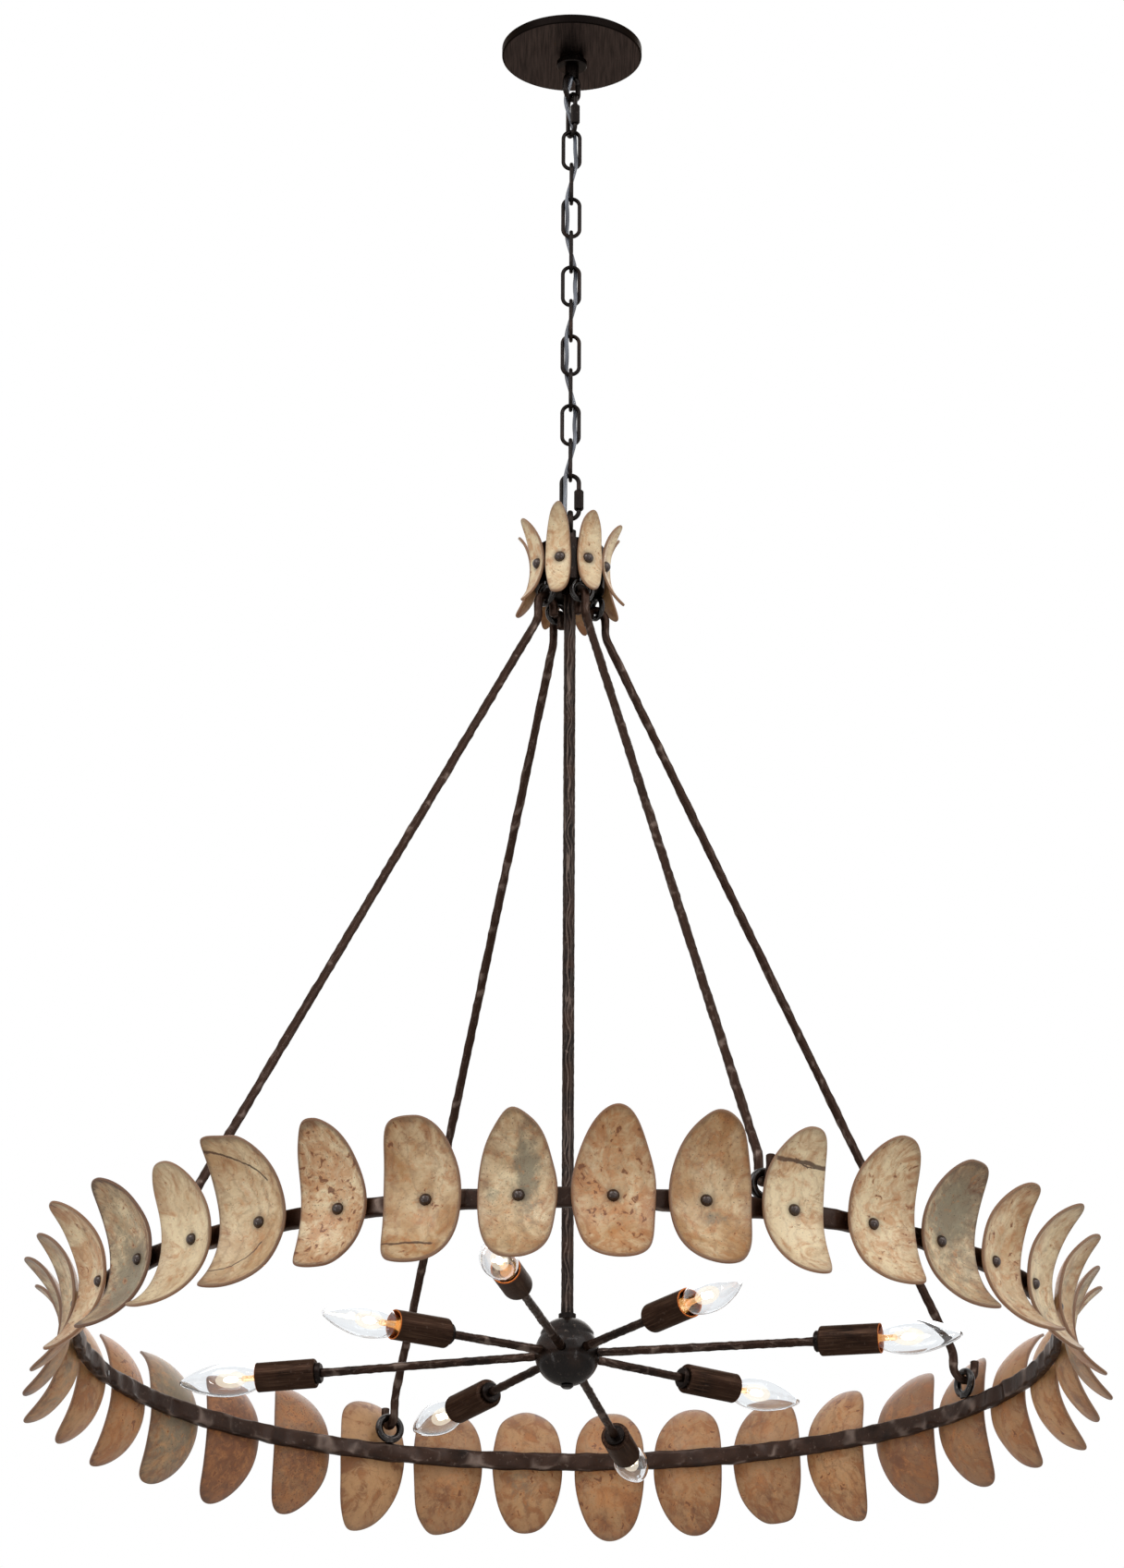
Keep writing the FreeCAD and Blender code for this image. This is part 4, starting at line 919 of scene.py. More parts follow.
def canopy_bronze():
    """Brown bronze brushed from front to back, black at the rim."""
    made, tree, shader = material("Brushed canopy bronze", Metallic=1.0, Specular_Tint=EDGE_TINT)
    where = spot(tree)
    brushed = noise(tree, stretched(tree, where, 900.0, 26.0, 26.0), 1.0, 3.0, 0.6)
    base = mixed(tree, between(tree, brushed, 0.30, 0.72), linear((0.17, 0.145, 0.138)),
                 linear((0.30, 0.25, 0.232)))
    spread = vectors(tree, "LENGTH", vectors(tree, "MULTIPLY", where, (1.0, 1.0, 0.0)), out="Value")
    rim = between(tree, spread, 69.5 * MM, 71.2 * MM)
    base = mixed(tree, rim, base, linear((0.07, 0.055, 0.05)))
    feed(tree, shader, Base_Color=base, Roughness=maths(tree, "MULTIPLY_ADD", brushed, 0.3, 0.3),
         Normal=bumped(tree, brushed, strength=0.15, distance=0.0002))
    return made


def clouded(name, metallic, scale, first, second, smoothest):
    """Two close colours in soft clouds, rougher towards the second."""
    made, tree, shader = material(name, Metallic=metallic)
    cloud = noise(tree, spot(tree), scale)
    feed(tree, shader, Base_Color=mixed(tree, cloud, linear(first), linear(second)),
         Roughness=maths(tree, "MULTIPLY_ADD", cloud, 0.3, smoothest))
    return made


def shell_material():
    """The one finish of all shells, made once; what differs between them comes from their meshes."""
    if "Worn shell" in bpy.data.materials:
        return bpy.data.materials["Worn shell"]
    looks = bpy.context.scene.chandelier_shells
    made, tree, shader = material("Worn shell", Coat_Weight=0.05)
    where, behind, seed = laid(tree), mark(tree, "behind"), mark(tree, "seed")
    lines = [placed_group(tree, crack, {
        "Vector": where, "Place": mark(tree, "crack_place_" + side, "Vector"),
        "Run": mark(tree, "crack_run_" + side, "Vector"),
        "Width": mark(tree, "crack_width_" + side)})["Mask"] for side in "ab"]
    shift = add(tree, "CombineXYZ", {0: maths(tree, "MULTIPLY", seed, 2.13),
                                     1: maths(tree, "MULTIPLY", seed, 1.37), 2: behind}).outputs[0]
    values = {"Vector": vectors(tree, "ADD", where, shift),
              "Cracks": maths(tree, "MULTIPLY", maths(tree, "MAXIMUM", *lines),
                              maths(tree, "SUBTRACT", 1.0, behind))}
    values.update((label, linear(getattr(looks, label.lower()))) for label in SHELL_TINTS)
    values.update((label, mark(tree, name)) for label, name in SHELL_MARKS.items())
    face = placed_group(tree, shell_face, values)
    feed(tree, shader, Base_Color=face["Color"], Roughness=face["Roughness"],
         Normal=bumped(tree, face["Height"], strength=0.35, distance=0.0008))
    return made


# Shells

def shell_outline(shares, corner_shares, width, half_height, steps):
    """Four quarter curves about the rivet, each a cubic with handles as long as its corner is square.

    An end that leans is moved up in proportion to how far right it is and how near the end.
    """
    left, right, rise, fall, top_square, foot_square = shares
    squares = corner_shares or (top_square, top_square, foot_square, foot_square, 0.0, 0.0)
    corners = (((right, 0), (0, rise), squares[0]), ((0, rise), (-left, 0), squares[1]),
               ((-left, 0), (0, -fall), squares[2]), ((0, -fall), (right, 0), squares[3]))
    t = np.linspace(0, 1, steps, endpoint=False)[:, None]
    curves = []
    for start, finish, square in corners:
        start = np.array(start) * (width / 2, half_height)
        finish = np.array(finish) * (width / 2, half_height)
        pull = 0.552 + 0.36 * square
        curves.append(start * (1 - t) ** 3 + 3 * (start + finish * pull) * t * (1 - t) ** 2
                      + 3 * (finish + start * pull) * t ** 2 * (1 - t) + finish * t ** 3)
    rim = np.vstack(curves)
    lean = np.where(rim[:, 1] > 0, squares[4], squares[5]) * (rim[:, 1] / half_height) ** 2
    rim[:, 1] += lean * half_height * rim[:, 0] / (width / 2)
    return rim


def stains(flat, number, kind):
    """The strongest stain of a kind at each point: its strength, fading as a bell of the distance."""
    depth = np.zeros(flat.shape[:2])
    for label, x, y, wide, high, strength in SHELL_STAINS.get(number, ()):
        if label == kind:
            away = ((flat[..., 0] / MM - x) / wide) ** 2 + ((flat[..., 1] / MM - y) / high) ** 2
            depth = np.maximum(depth, strength * np.exp(-away))
    return depth


def crack_marks(number):
    """The two cracks of a shell as plain values, in tenths of a metre; one that is absent is shut."""
    made = {}
    found = SHELL_CRACKS.get(number, ())
    for place, side in enumerate("ab"):
        x, y, radius, bearing, spread, width = found[place] if place < len(found) else (0,) * 6
        turn = math.radians(bearing)
        least = math.cos(math.radians(spread)) if width else 2.0
        made["crack_place_" + side] = (x / 100, y / 100, radius / 100)
        made["crack_run_" + side] = (math.cos(turn), math.sin(turn), least)
        made["crack_width_" + side] = max(width, 0.1) / 100
    return made


def shell_mesh(name, number, shares, colours, size, place, steps):
    """A worn shell cut from a hollow ball, with a soft rim and a hole for its rivet.

    Across goes round the outline, which is kept inside the ball. Along goes from the hole over the
    hollow front, round the rim and back over the round back to the hole. A point is the ball's
    middle less a direction times the ball's radius; front and back differ only in radius, so the
    wall is even. size is width, half height, ball and thickness; place is bearing, distance and
    level.
    """
    looks = bpy.context.scene.chandelier_shells
    width, half_height, ball, thickness = size
    rim = shell_outline(shares, SHELL_CORNERS.get(number), width, half_height, steps)
    rim[:, 0] += CROWN_BOWS.get(number, 0.0) * MM * ((rim[:, 1] / half_height) ** 2 - 0.3)
    angle = np.linspace(0, TURN, len(rim), endpoint=False)
    stray = looks.wobble * ripple(angle, 0.0, RIM_SEED + number, turns=(3, 9), runs=(0, 0), count=6)
    rim = rim * (1 + stray / np.linalg.norm(rim, axis=1))[:, None]
    longest = np.linalg.norm(rim, axis=1)
    reach = np.minimum(longest, BALL_SHARE * ball)
    rim = rim * (reach / longest)[:, None]
    aim = rim / reach[:, None]
    face_steps, rim_steps, softness = 17, 9, 0.8
    hole, soft = looks.hole / 2, 0.22 * thickness
    face = np.linspace(0, 1, face_steps) ** 0.8
    bend = np.linspace(0, math.pi, rim_steps)[1:-1]
    swell, tilt = np.sin(bend) ** softness, squared(np.cos(bend), softness)
    span = reach - soft - hole
    inner = hole + span * np.concatenate((face, np.ones(len(bend)), face[::-1]))[:, None]
    away = np.concatenate((np.zeros(len(face)), swell, np.zeros(len(face))))[:, None]
    off = np.concatenate((np.ones(len(face)), tilt, -np.ones(len(face))))[:, None]
    far = inner + soft * away
    flat = aim[None] * far[..., None]
    level_reach, warp_depth = 8 * MM, 0.35 * MM         # flat about the rivet, warped further out
    clear = np.clip((far - level_reach) / (14 * MM), 0, 1)
    waves = ripple(flat[..., 0] * 45, flat[..., 1] * 45, WARP_SEED + number, turns=(1, 3),
                   runs=(1, 3), count=7)
    warp = warp_depth * clear * waves
    radius = ball - thickness / 2 - off * thickness / 2 - warp
    depth = np.sqrt(ball ** 2 - far ** 2)
    local = np.stack((ball - depth * radius / ball, flat[..., 0] * radius / ball,
                      flat[..., 1] * radius / ball), axis=-1)
    marks = {"rim": (far - hole) / (reach - hole), "lip": away, "behind": np.clip(0.5 - 0.5 * off, 0, 1),
             "halo": np.clip(1 - (far - HALO) / HALO, 0, 1) * (off > 0), "seed": number,
             "moss": stains(flat, number, "moss"), "burn": stains(flat, number, "burn"),
             **dict(zip(COLOUR_NAMES, colours)), **crack_marks(number)}
    flat = np.concatenate((flat, flat[:, :1]), axis=1)
    uv = np.concatenate((flat, flat[:1]), axis=0) * MAP_SCALE
    return surface(name, set_at(local, *place), wrap_rows=True, wrap_columns=True, uv=uv, marks=marks,
                   sharp=60.0)


def ring_shells():
    """Thirty-six shells round the ring, nine to each of the frame's nodes."""
    looks = bpy.context.scene.chandelier_shells
    metal = bpy.context.scene.chandelier_metal
    distance = metal.ring_radius + metal.ring_thickness / 2 + PLAY
    size = looks.width, looks.half_height, looks.ball, looks.thickness
    for index, (shares, colours) in enumerate(zip(SHELL_OUTLINES, SHELL_COLOURS)):
        name = "ring_shell_%02d" % (index + 1)
        place = RING_SHELL_FIRST + RING_SHELL_STEP * index, distance, RING_LEVEL
        mesh = shell_mesh(name, index, shares, colours, size, place, steps=26)
        piece(name, mesh, shell_material(), "fixture", "shell", "ring_shells_%d" % (index // 9 + 1))


def crown_shells():
    """Eight slim shells round the crown."""
    looks = bpy.context.scene.chandelier_shells
    size = looks.crown_width, looks.crown_half_height, looks.crown_ball, looks.crown_thickness
    for index, (shares, colours) in enumerate(zip(CROWN_OUTLINES, CROWN_COLOURS)):
        name = "crown_shell_%d" % (index + 1)
        place = CROWN_SHELL_FIRST + CROWN_SHELL_STEP * index, CROWN_RADIUS + PLAY, CROWN_LEVEL
        mesh = shell_mesh(name, CROWN_NUMBER + index, shares, colours, size, place, steps=22)
        piece(name, mesh, shell_material(), "fixture", "shell", "crown_shells")


# Hammered metal

def ring_bar():
    """A flat bar bent to a ring: a soft rectangle carried round a circle, dented and waved."""
    metal = bpy.context.scene.chandelier_metal
    rounds, sides = 1440, 32
    around = np.linspace(0, TURN, rounds, endpoint=False)[:, None]
    section = np.linspace(0, TURN, sides, endpoint=False)[None, :]
    wide, tall = squared(np.cos(section), 0.42), squared(np.sin(section), 0.42)
    girth = 2 * (metal.ring_height + metal.ring_thickness)
    run = TURN * metal.ring_radius
    squash = 0.62           # the dents are longer along the bar than across it
    hammered = dents(section / TURN * girth, around / TURN * run * squash, girth, run * squash,
                     BAR_DENT_SEED, size=10 * MM, spacing=9.5 * MM)
    inside = np.clip(-np.cos(section) * 3, 0, 1)
    wave = ripple(section, around, BAR_WAVE_SEED, turns=(0, 2), runs=(30, 95), count=14)
    rise = ripple(0 * section, around, BAR_RISE_SEED, turns=(0, 0), runs=(25, 80), count=9)
    squeeze = 1 - (0.10 + 0.14 * inside) * hammered + 0.035 * wave
    thick = metal.ring_thickness / 2 * wide * (squeeze + 0.12 * inside * wave)
    high = metal.ring_height / 2 * tall * (1 - 0.09 * hammered + 0.03 * rise)
    outer = metal.ring_radius + np.minimum(thick, metal.ring_thickness / 2)
    points = np.stack((outer * np.sin(around), -outer * np.cos(around), RING_LEVEL + high), axis=-1)
    uv = unrolled(girth * MAP_SCALE, sides, np.linspace(0, run * MAP_SCALE, rounds + 1))
    mesh = surface("ring_bar_hammered", points, wrap_rows=True, wrap_columns=True, uv=uv,
                   marks={"rubbed_and_highlit_ridge": ridges(hammered)})
    skin = bronze("Forged bar bronze", brownness=0.80, wear=0.35, hammer=70.0, relief=0.75,
                  depth=0.0014, coat=0.20)
    piece("ring_bar_hammered", mesh, skin, "fixture", "bronze", "ring_bar")


def arc(centre, radius, start, finish, count):
    """Points on a circle in the outward and upward plane, between two angles."""
    angle = np.radians(np.linspace(start, finish, count))
    return np.stack((centre[0] + radius * np.cos(angle), centre[1] + radius * np.sin(angle)), axis=-1)


def evenly(corners, pitch):
    """The same line with its points a steady distance apart, and how far along each lies."""
    travelled = travel(corners)
    wanted = np.linspace(0, travelled[-1], int(travelled[-1] / pitch))
    return np.stack([np.interp(wanted, travelled, axis) for axis in corners.T], axis=-1), wanted


def rod_line():
    """The rod's middle line: a hook over the crown's eye, a slanting run and a hook under the
    ring's eye, each turn an arc."""
    metal = bpy.context.scene.chandelier_metal
    radius = metal.rod / 2
    weld = 1.2 * MM         # how far an eye is sunk into what it stands on
    # An eye's radius, half its wire, and the hook's radius and distance from Z
    top_eye, top_wire, top_r, top_place = 10 * MM, 3 * MM, 10 * MM, 31 * MM
    foot_eye, foot_wire, foot_r = 11.45 * MM, 3.8 * MM, 12.5 * MM
    foot_place = metal.ring_radius - 4.5 * MM
    # Straight stretches next to the hooks, the first and last step of their tips, and the bends
    top_straight, foot_straight, tip, hook_tip, bend = 17 * MM, 14 * MM, 3 * MM, 8 * MM, 22 * MM
    top_level = CUP_FOOT - top_eye - top_wire + weld
    foot_level = RING_LEVEL + metal.ring_height / 2 + foot_eye + foot_wire - weld
    top_z = top_level - (top_eye - top_wire) + radius + PLAY - top_r
    foot_z = foot_level + (foot_eye - foot_wire) - radius - PLAY + foot_r
    upper = np.array((top_place + top_r, top_z - top_straight))
    lower = np.array((foot_place - foot_r, foot_z + foot_straight))
    slope = (lower - upper) / np.linalg.norm(lower - upper)
    turn = math.acos(-slope[1])
    trim = bend * math.tan(turn / 2)
    degrees = math.degrees(turn)
    head = upper + (0, trim)
    tail = lower - (0, trim)
    return np.vstack((
        ((top_place - top_r, top_z - hook_tip), (top_place - top_r, top_z - tip)),
        arc((top_place, top_z), top_r, 180, 0, 30),
        arc((head[0] + bend, head[1]), bend, 180, 180 + degrees, 14),
        arc((tail[0] - bend, tail[1]), bend, degrees, 0, 14),
        arc((foot_place, foot_z), foot_r, 180, 360, 34),
        ((foot_place + foot_r, foot_z + tip), (foot_place + foot_r, foot_z + hook_tip))))


def rods():
    """Four hammered rods: a round with soft flats that wander along it, and small dents."""
    metal = bpy.context.scene.chandelier_metal
    line, travelled = evenly(rod_line(), 2.2 * MM)
    path = np.insert(line, 1, 0.0, axis=1)
    run, girth = travelled[-1], TURN * metal.rod / 2
    along = travelled[:, None] / run * TURN
    angles = np.linspace(0, TURN, 24, endpoint=False)
    skin = drawn_bronze("Rod bronze", brownness=0.95, wear=0.22, turns=5.0, runs=4.0, relief=0.7)
    for number, bearing in enumerate(ROD_TURNS):
        hammered = dents(angles / TURN * girth, travelled[:, None], girth, run, ROD_DENT_SEED + number,
                         size=8 * MM, spacing=6.5 * MM)
        wander = ripple(0, along, ROD_FLAT_SEED + number, turns=(0, 0), runs=(4, 22), count=7)
        flats = np.abs(np.cos(2 * angles + 0.8 * wander))
        wave = ripple(angles, along, ROD_WAVE_SEED + number, turns=(1, 3), runs=(15, 90), count=12)
        radius = metal.rod / 2 * (1.04 - 0.13 * hammered - 0.06 * flats + 0.02 * wave)
        radius = np.minimum(radius, metal.rod / 2 + 0.15 * MM)
        name = "rod_%d_hammered" % (number + 1)
        mesh = bar_mesh(name, path, radius, angles, 1.2 * MM, lambda points: set_at(points, bearing),
                        ridges(hammered), run, number * 3)
        piece(name, mesh, skin, "fixture", "bronze", "rod_%d" % (number + 1))


def arms():
    """Eight lamp arms: a round with hammered flats, straight from the ball to its cover."""
    metal = bpy.context.scene.chandelier_metal
    angles = np.linspace(0, TURN, 24, endpoint=False)
    girth = TURN * metal.arm / 2
    skin = drawn_bronze("Arm bronze", brownness=0.55, wear=0.30, turns=5.0, runs=4.5, relief=0.8)
    for index in range(LAMP_COUNT):
        reach = arm_reach(index)
        start, finish = metal.ball - 2.4 * MM, reach + 5.8 * MM
        travelled = np.arange(start, finish, 1.9 * MM)[:, None]
        run = finish - start
        hammered = dents(angles / TURN * girth, travelled - start, girth, run, ARM_DENT_SEED + index,
                         size=7.5 * MM, spacing=6 * MM)
        wave = ripple(angles, travelled / run * TURN, ARM_WAVE_SEED + index, turns=(2, 4),
                      runs=(5, 30), count=9)
        ends = np.clip((reach - 5 * MM - travelled) / (8 * MM), 0, 1)
        radius = metal.arm / 2 * (1 - ends * (0.11 * hammered - 0.03 * wave))
        radius = np.minimum(radius, metal.arm / 2 + 0.1 * MM)
        name = "lamp_arm_%d" % (index + 1)
        mesh = bar_mesh(name, travelled * UP, radius, angles, 0.3 * MM,
                        lambda points: laid_out(points, index), ridges(hammered) * ends, run, index * 3)
        piece(name, mesh, skin, "fixture", "bronze", "long_arms" if index % 2 == 0 else "short_arms")


def stem():
    """A straight stem with wandering upright ridges, like bark."""
    metal = bpy.context.scene.chandelier_metal
    top, foot = CUP_FOOT + 6.5 * MM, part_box("stem")[0][2]
    heights = np.arange(top, foot, -2.4 * MM)[:, None]
    angles = np.linspace(0, TURN, 64, endpoint=False)
    along = (heights - foot) / (top - foot) * TURN
    sway = 0.35 * ripple(angles, along, STEM_SWAY_SEED, turns=(0, 2), runs=(6, 30), count=9)
    ridged = np.cos(9 * (angles + sway)) * 0.5 + np.cos(14 * (angles + 0.8 * sway) + 1.3) * 0.5
    rough = ripple(angles, along, STEM_ROUGH_SEED, turns=(3, 9), runs=(30, 120), count=12)
    clear = np.minimum(heights - foot - 12 * MM, CUP_FOOT - 6 * MM - heights)
    ends = np.clip(clear / (6 * MM), 0, 1)
    radius = metal.stem / 2 - ends * (0.28 * MM - 0.16 * MM * ridged - 0.10 * MM * rough)
    mesh = bar_mesh("stem_grained", heights * UP, radius, angles, 0.2 * MM, lambda points: points,
                    np.clip(ridged, 0, 1) * ends, top - foot)
    skin = drawn_bronze("Stem bronze", brownness=0.25, wear=0.42, turns=9.0, runs=2.2, relief=1.0)
    piece("stem_grained", mesh, skin, "fixture", "bronze", "stem")


def cover_profile(outer, wall, hole):
    """A cover's outline from its back's hole over the outside to the mouth and back inside.

    Returns it with a column that is one on the inside.
    """
    soft = 2.4 * MM
    bend = np.radians(np.linspace(90, 0, 7))
    outside = np.vstack((
        ((hole, 2.8 * MM), (hole, 0), (hole + 3 * MM, 0)),
        np.stack((outer - soft + soft * np.cos(bend), soft - soft * np.sin(bend)), axis=-1),
        np.stack((np.full(14, outer), np.linspace(4 * MM, COVER_LENGTH - 1.2 * MM, 14)), axis=-1),
        ((outer + 0.1 * MM, COVER_LENGTH - 0.7 * MM),)))
    inner = outer - wall
    inside = ((outer - 0.2 * MM, COVER_LENGTH - 0.1 * MM), (outer - 0.7 * MM, COVER_LENGTH),
              (inner + 0.1 * MM, COVER_LENGTH - 0.2 * MM), (inner, COVER_LENGTH - 0.8 * MM),
              (inner, COVER_LENGTH - 20 * MM), (inner, 4.6 * MM), (outer - 3.2 * MM, 2.8 * MM),
              (hole, 2.8 * MM))
    # one on the inside, which takes the painted lamp light
    painted_lamp_light_inside = np.repeat((0.0, 1.0), (len(outside), len(inside)))[:, None]
    return np.vstack((outside, inside)), painted_lamp_light_inside


def covers():
    """Eight lamp covers: a can with a rounded back, a thin wall and a copper inside."""
    metal = bpy.context.scene.chandelier_metal
    profile, painted_lamp_light_inside = cover_profile(metal.cover / 2, 1.4 * MM, 4.6 * MM)
    made, tree, shader = material("Cover bronze and copper", Metallic=1.0, Specular_Tint=EDGE_TINT)
    skin = patina(tree, spot(tree), brownness=0.70, wear=0.25)
    brushed = noise(tree, stretched(tree, laid(tree), 90.0, 3.0, 1.0), 1.0, 3.0)
    streak = between(tree, brushed, 0.46, 0.70)
    base = mixed(tree, streak, skin["Color"], linear((0.30, 0.225, 0.18)))
    # painted lamp light: the inside turns copper, for the warm light and the brass cap's reflection
    base = mixed(tree, mark(tree, "inside"), base, linear(metal.copper))
    feed(tree, shader, Base_Color=base, Roughness=skin["Roughness"],
         Normal=bumped(tree, brushed, strength=0.2, distance=0.0004))
    for index in range(LAMP_COUNT):
        name = "lamp_cover_%d" % (index + 1)
        mesh = turned_piece(name, profile + (0, arm_reach(index)), 72,
                            lambda points: laid_out(points, index), {"inside": painted_lamp_light_inside})
        piece(name, mesh, made, "fixture", "bronze", "socket_covers")


# Lamps

def bulb_profile(mouth):
    """The bulb's glass, from the neck over the belly to the tip and back inside its thin wall.

    The outside is a smooth curve through radii at heights from the cover's mouth.
    """
    heights = np.array((-10.7, -4.0, 0.0, 12.0, 27.4, 42.0, 57.5, 68.0, 73.5, 76.0)) * MM
    radii = np.array((7.5, 9.2, 10.5, 14.6, 16.5, 15.2, 11.0, 6.6, 3.6, 1.5)) * MM
    fine = np.linspace(0, 1, 48)
    outer = np.array([catmull(values, fine) for values in (radii, heights)]).T + (0, mouth)
    slope = heading(outer)
    inner = outer + GLASS_WALL * np.stack((-slope[:, 1], slope[:, 0]), axis=-1)
    inner[:, 0] = np.maximum(inner[:, 0], 0.25 * MM)
    tip = mouth + heights[-1]
    end = ((0.8 * MM, tip + 0.25 * MM), (0, tip + 0.3 * MM), (0, tip - 1.2 * MM))
    return np.vstack((outer, end, inner[::-1][3:], outer[:1]))


def cap_profile(low, high):
    """The threaded cap: a contact, a taper, six waves of thread and a collar."""
    thread = np.linspace(0, 1, 57)
    screw = 5.75 * MM + 0.25 * MM * np.cos(thread * TURN * 6)
    return np.vstack((
        ((0, low), (2.2 * MM, low), (3.0 * MM, low + 0.6 * MM), (5.4 * MM, low + 3.2 * MM)),
        np.stack((screw, low + 3.4 * MM + thread * (high - low - 4.2 * MM)), axis=-1),
        ((5.9 * MM, high), (7.3 * MM, high + 0.2 * MM), (7.4 * MM, high + 1.2 * MM),
         (0, high + 1.4 * MM))))


def catmull(values, wanted):
    """A smooth curve through values at even steps from nought to one, its slope at each value
    taken from the two beside it."""
    step = 1 / (len(values) - 1)
    slope = np.gradient(values, step)
    place = np.clip((wanted / step).astype(int), 0, len(values) - 2)
    t = wanted / step - place
    a, b = values[place], values[place + 1]
    return (a * (2 * t ** 3 - 3 * t ** 2 + 1) + b * (3 * t ** 2 - 2 * t ** 3)
            + slope[place] * step * (t ** 3 - 2 * t ** 2 + t)
            + slope[place + 1] * step * (t ** 3 - t ** 2))


def bulbs():
    """Eight pointed clear lamps: thin glass, a threaded cap, a glass mount, leads and a lit wire."""
    looks = bpy.context.scene.chandelier_stage
    brass = clouded("Lamp cap brass", metallic=1.0, scale=300.0, first=(0.86, 0.66, 0.36),
                    second=(0.70, 0.48, 0.24), smoothest=0.12)
    glass, warm, glowing, painted_glow = (material(name, **values)[0] for name, values in (
        ("Clear lamp glass", {"Base_Color": (0.93, 0.945, 0.96, 1), "Roughness": 0.0, "IOR": 1.45,
                              "Transmission_Weight": 1.0}),
        # painted glow: the glass mount is tinted and lit warm, for the lamp's light on it
        ("Mount with painted glow", {"Base_Color": linear((0.93, 0.82, 0.66)), "Roughness": 0.12,
                        "Transmission_Weight": 0.8, "Emission_Color": linear((1.0, 0.74, 0.42)),
                        "Emission_Strength": 0.25}),
        ("Lit wire", {"Base_Color": linear((1.0, 0.9, 0.7)), "Emission_Strength": looks.glow,
                      "Emission_Color": linear((1.0, 0.93, 0.80))}),
        # painted glow: a faint see-through shell that glows round the lit wire
        ("Painted lamp glow", {"Base_Color": (0, 0, 0, 1), "Specular_IOR_Level": 0.0, "Alpha": 0.30,
                       "Emission_Color": linear((1.0, 0.94, 0.84)), "Emission_Strength": 1.3})))
    # The mount by radius and height above the cap; the coil by turns, half width and length
    mount = np.array(((0, 1.6), (6.6, 1.8), (5.4, 5), (3.4, 10), (2.6, 18), (3.0, 24), (2.2, 26),
                      (0, 26.6))) * MM
    coil_turns, coil_radius, coil_length = 14, 1.1 * MM, 13 * MM
    for index in range(LAMP_COUNT):
        node = "bulb_%d" % (index + 1)
        mouth = arm_reach(index) + COVER_LENGTH
        high = arm_reach(index) + (HOLDER_START + HOLDER_LENGTH + 0.4) * MM
        heart = mouth + 26 * MM
        turn = np.linspace(0, 1, 240)
        coil = np.stack((np.cos(turn * TURN * coil_turns) * coil_radius, (turn - 0.5) * coil_length,
                         heart + np.sin(turn * TURN * coil_turns) * coil_radius), axis=-1)

        def lamp_part(label, skin, shape, *sizes):
            """One part of this lamp: the shape's function, its sizes and its number of sides."""
            mesh = shape(node + label, *sizes, lambda points: laid_out(points, index))
            piece(node + label, mesh, skin, node + "_body", "glass", node)

        lamp_part("_glass", glass, turned_piece, bulb_profile(mouth), 64)
        lamp_part("_cap", brass, turned_piece, cap_profile(high - CAP_LENGTH * MM, high), 48)
        lamp_part("_mount", warm, turned_piece, mount + (0, high), 32)
        lamp_part("_wire", glowing, wire_mesh, coil, 0.42 * MM, 6)
        # a bright core round the lit wire, and about it a painted glow in a faint see-through shell
        for label, size, stretch, skin in (("_core", 3.2, 2.3, glowing), ("_haze", 8.0, 1.9, painted_glow)):
            bend = np.linspace(0, math.pi, 15)
            drop = np.stack((size * MM * np.sin(bend),
                             heart - size * stretch * MM * np.cos(bend)), axis=-1)
            lamp_part(label, skin, turned_piece, drop, 24)
        for label, side in (("_lead_a", -1), ("_lead_b", 1)):
            lead = np.stack((np.zeros(16), side * np.linspace(1.2, 6.5, 16) * MM,
                             np.linspace(high + 24 * MM, heart, 16)), axis=-1)
            lamp_part(label, brass, wire_mesh, lead, 0.35 * MM, 8)


# Cable

def cable_points():
    """The route's own points: the head, two for every link, the tail."""
    sides = ((1, 0), (0, -1), (-1, 0), (0, 1))
    points = [(x, y, z + LOOP_FOOT / MM) for x, y, z in CABLE_HEAD]
    middle = (FIRST_LINK_TOP - LINK_HEIGHT / 2) / MM
    step = LINK_STEP / MM
    for index in range(LINK_COUNT):
        here, after = sides[index % 4], sides[(index + 1) % 4]
        points.append((here[0] * LINK_SIDE, here[1] * LINK_SIDE, middle - index * step))
        points.append(((here[0] + after[0]) * LINK_CORNER, (here[1] + after[1]) * LINK_CORNER,
                       middle - (index + 0.5) * step))
    points += [(x, y, z + LOWER_QUICK_FOOT / MM) for x, y, z in CABLE_TAIL]
    return np.array(points) * MM


def cable_line():
    """Points read from a smooth spline that has the route's points as its control points."""
    route = cable_points()
    curve = bpy.data.curves.new("cable_route", "CURVE")
    curve.dimensions = "3D"
    curve.resolution_u = 10
    spline = curve.splines.new("NURBS")
    spline.points.add(len(route) - 1)
    spline.points.foreach_set("co", np.column_stack((route, np.ones(len(route)))).reshape(-1))
    spline.order_u = 3
    spline.use_endpoint_u = True
    holder = bpy.data.objects.new("cable_route", curve)
    line = bpy.data.meshes.new_from_object(holder)
    points = np.empty(len(line.vertices) * 3)
    line.vertices.foreach_get("co", points)
    bpy.data.meshes.remove(line)
    bpy.data.objects.remove(holder)
    bpy.data.curves.remove(curve)
    return points.reshape(-1, 3)


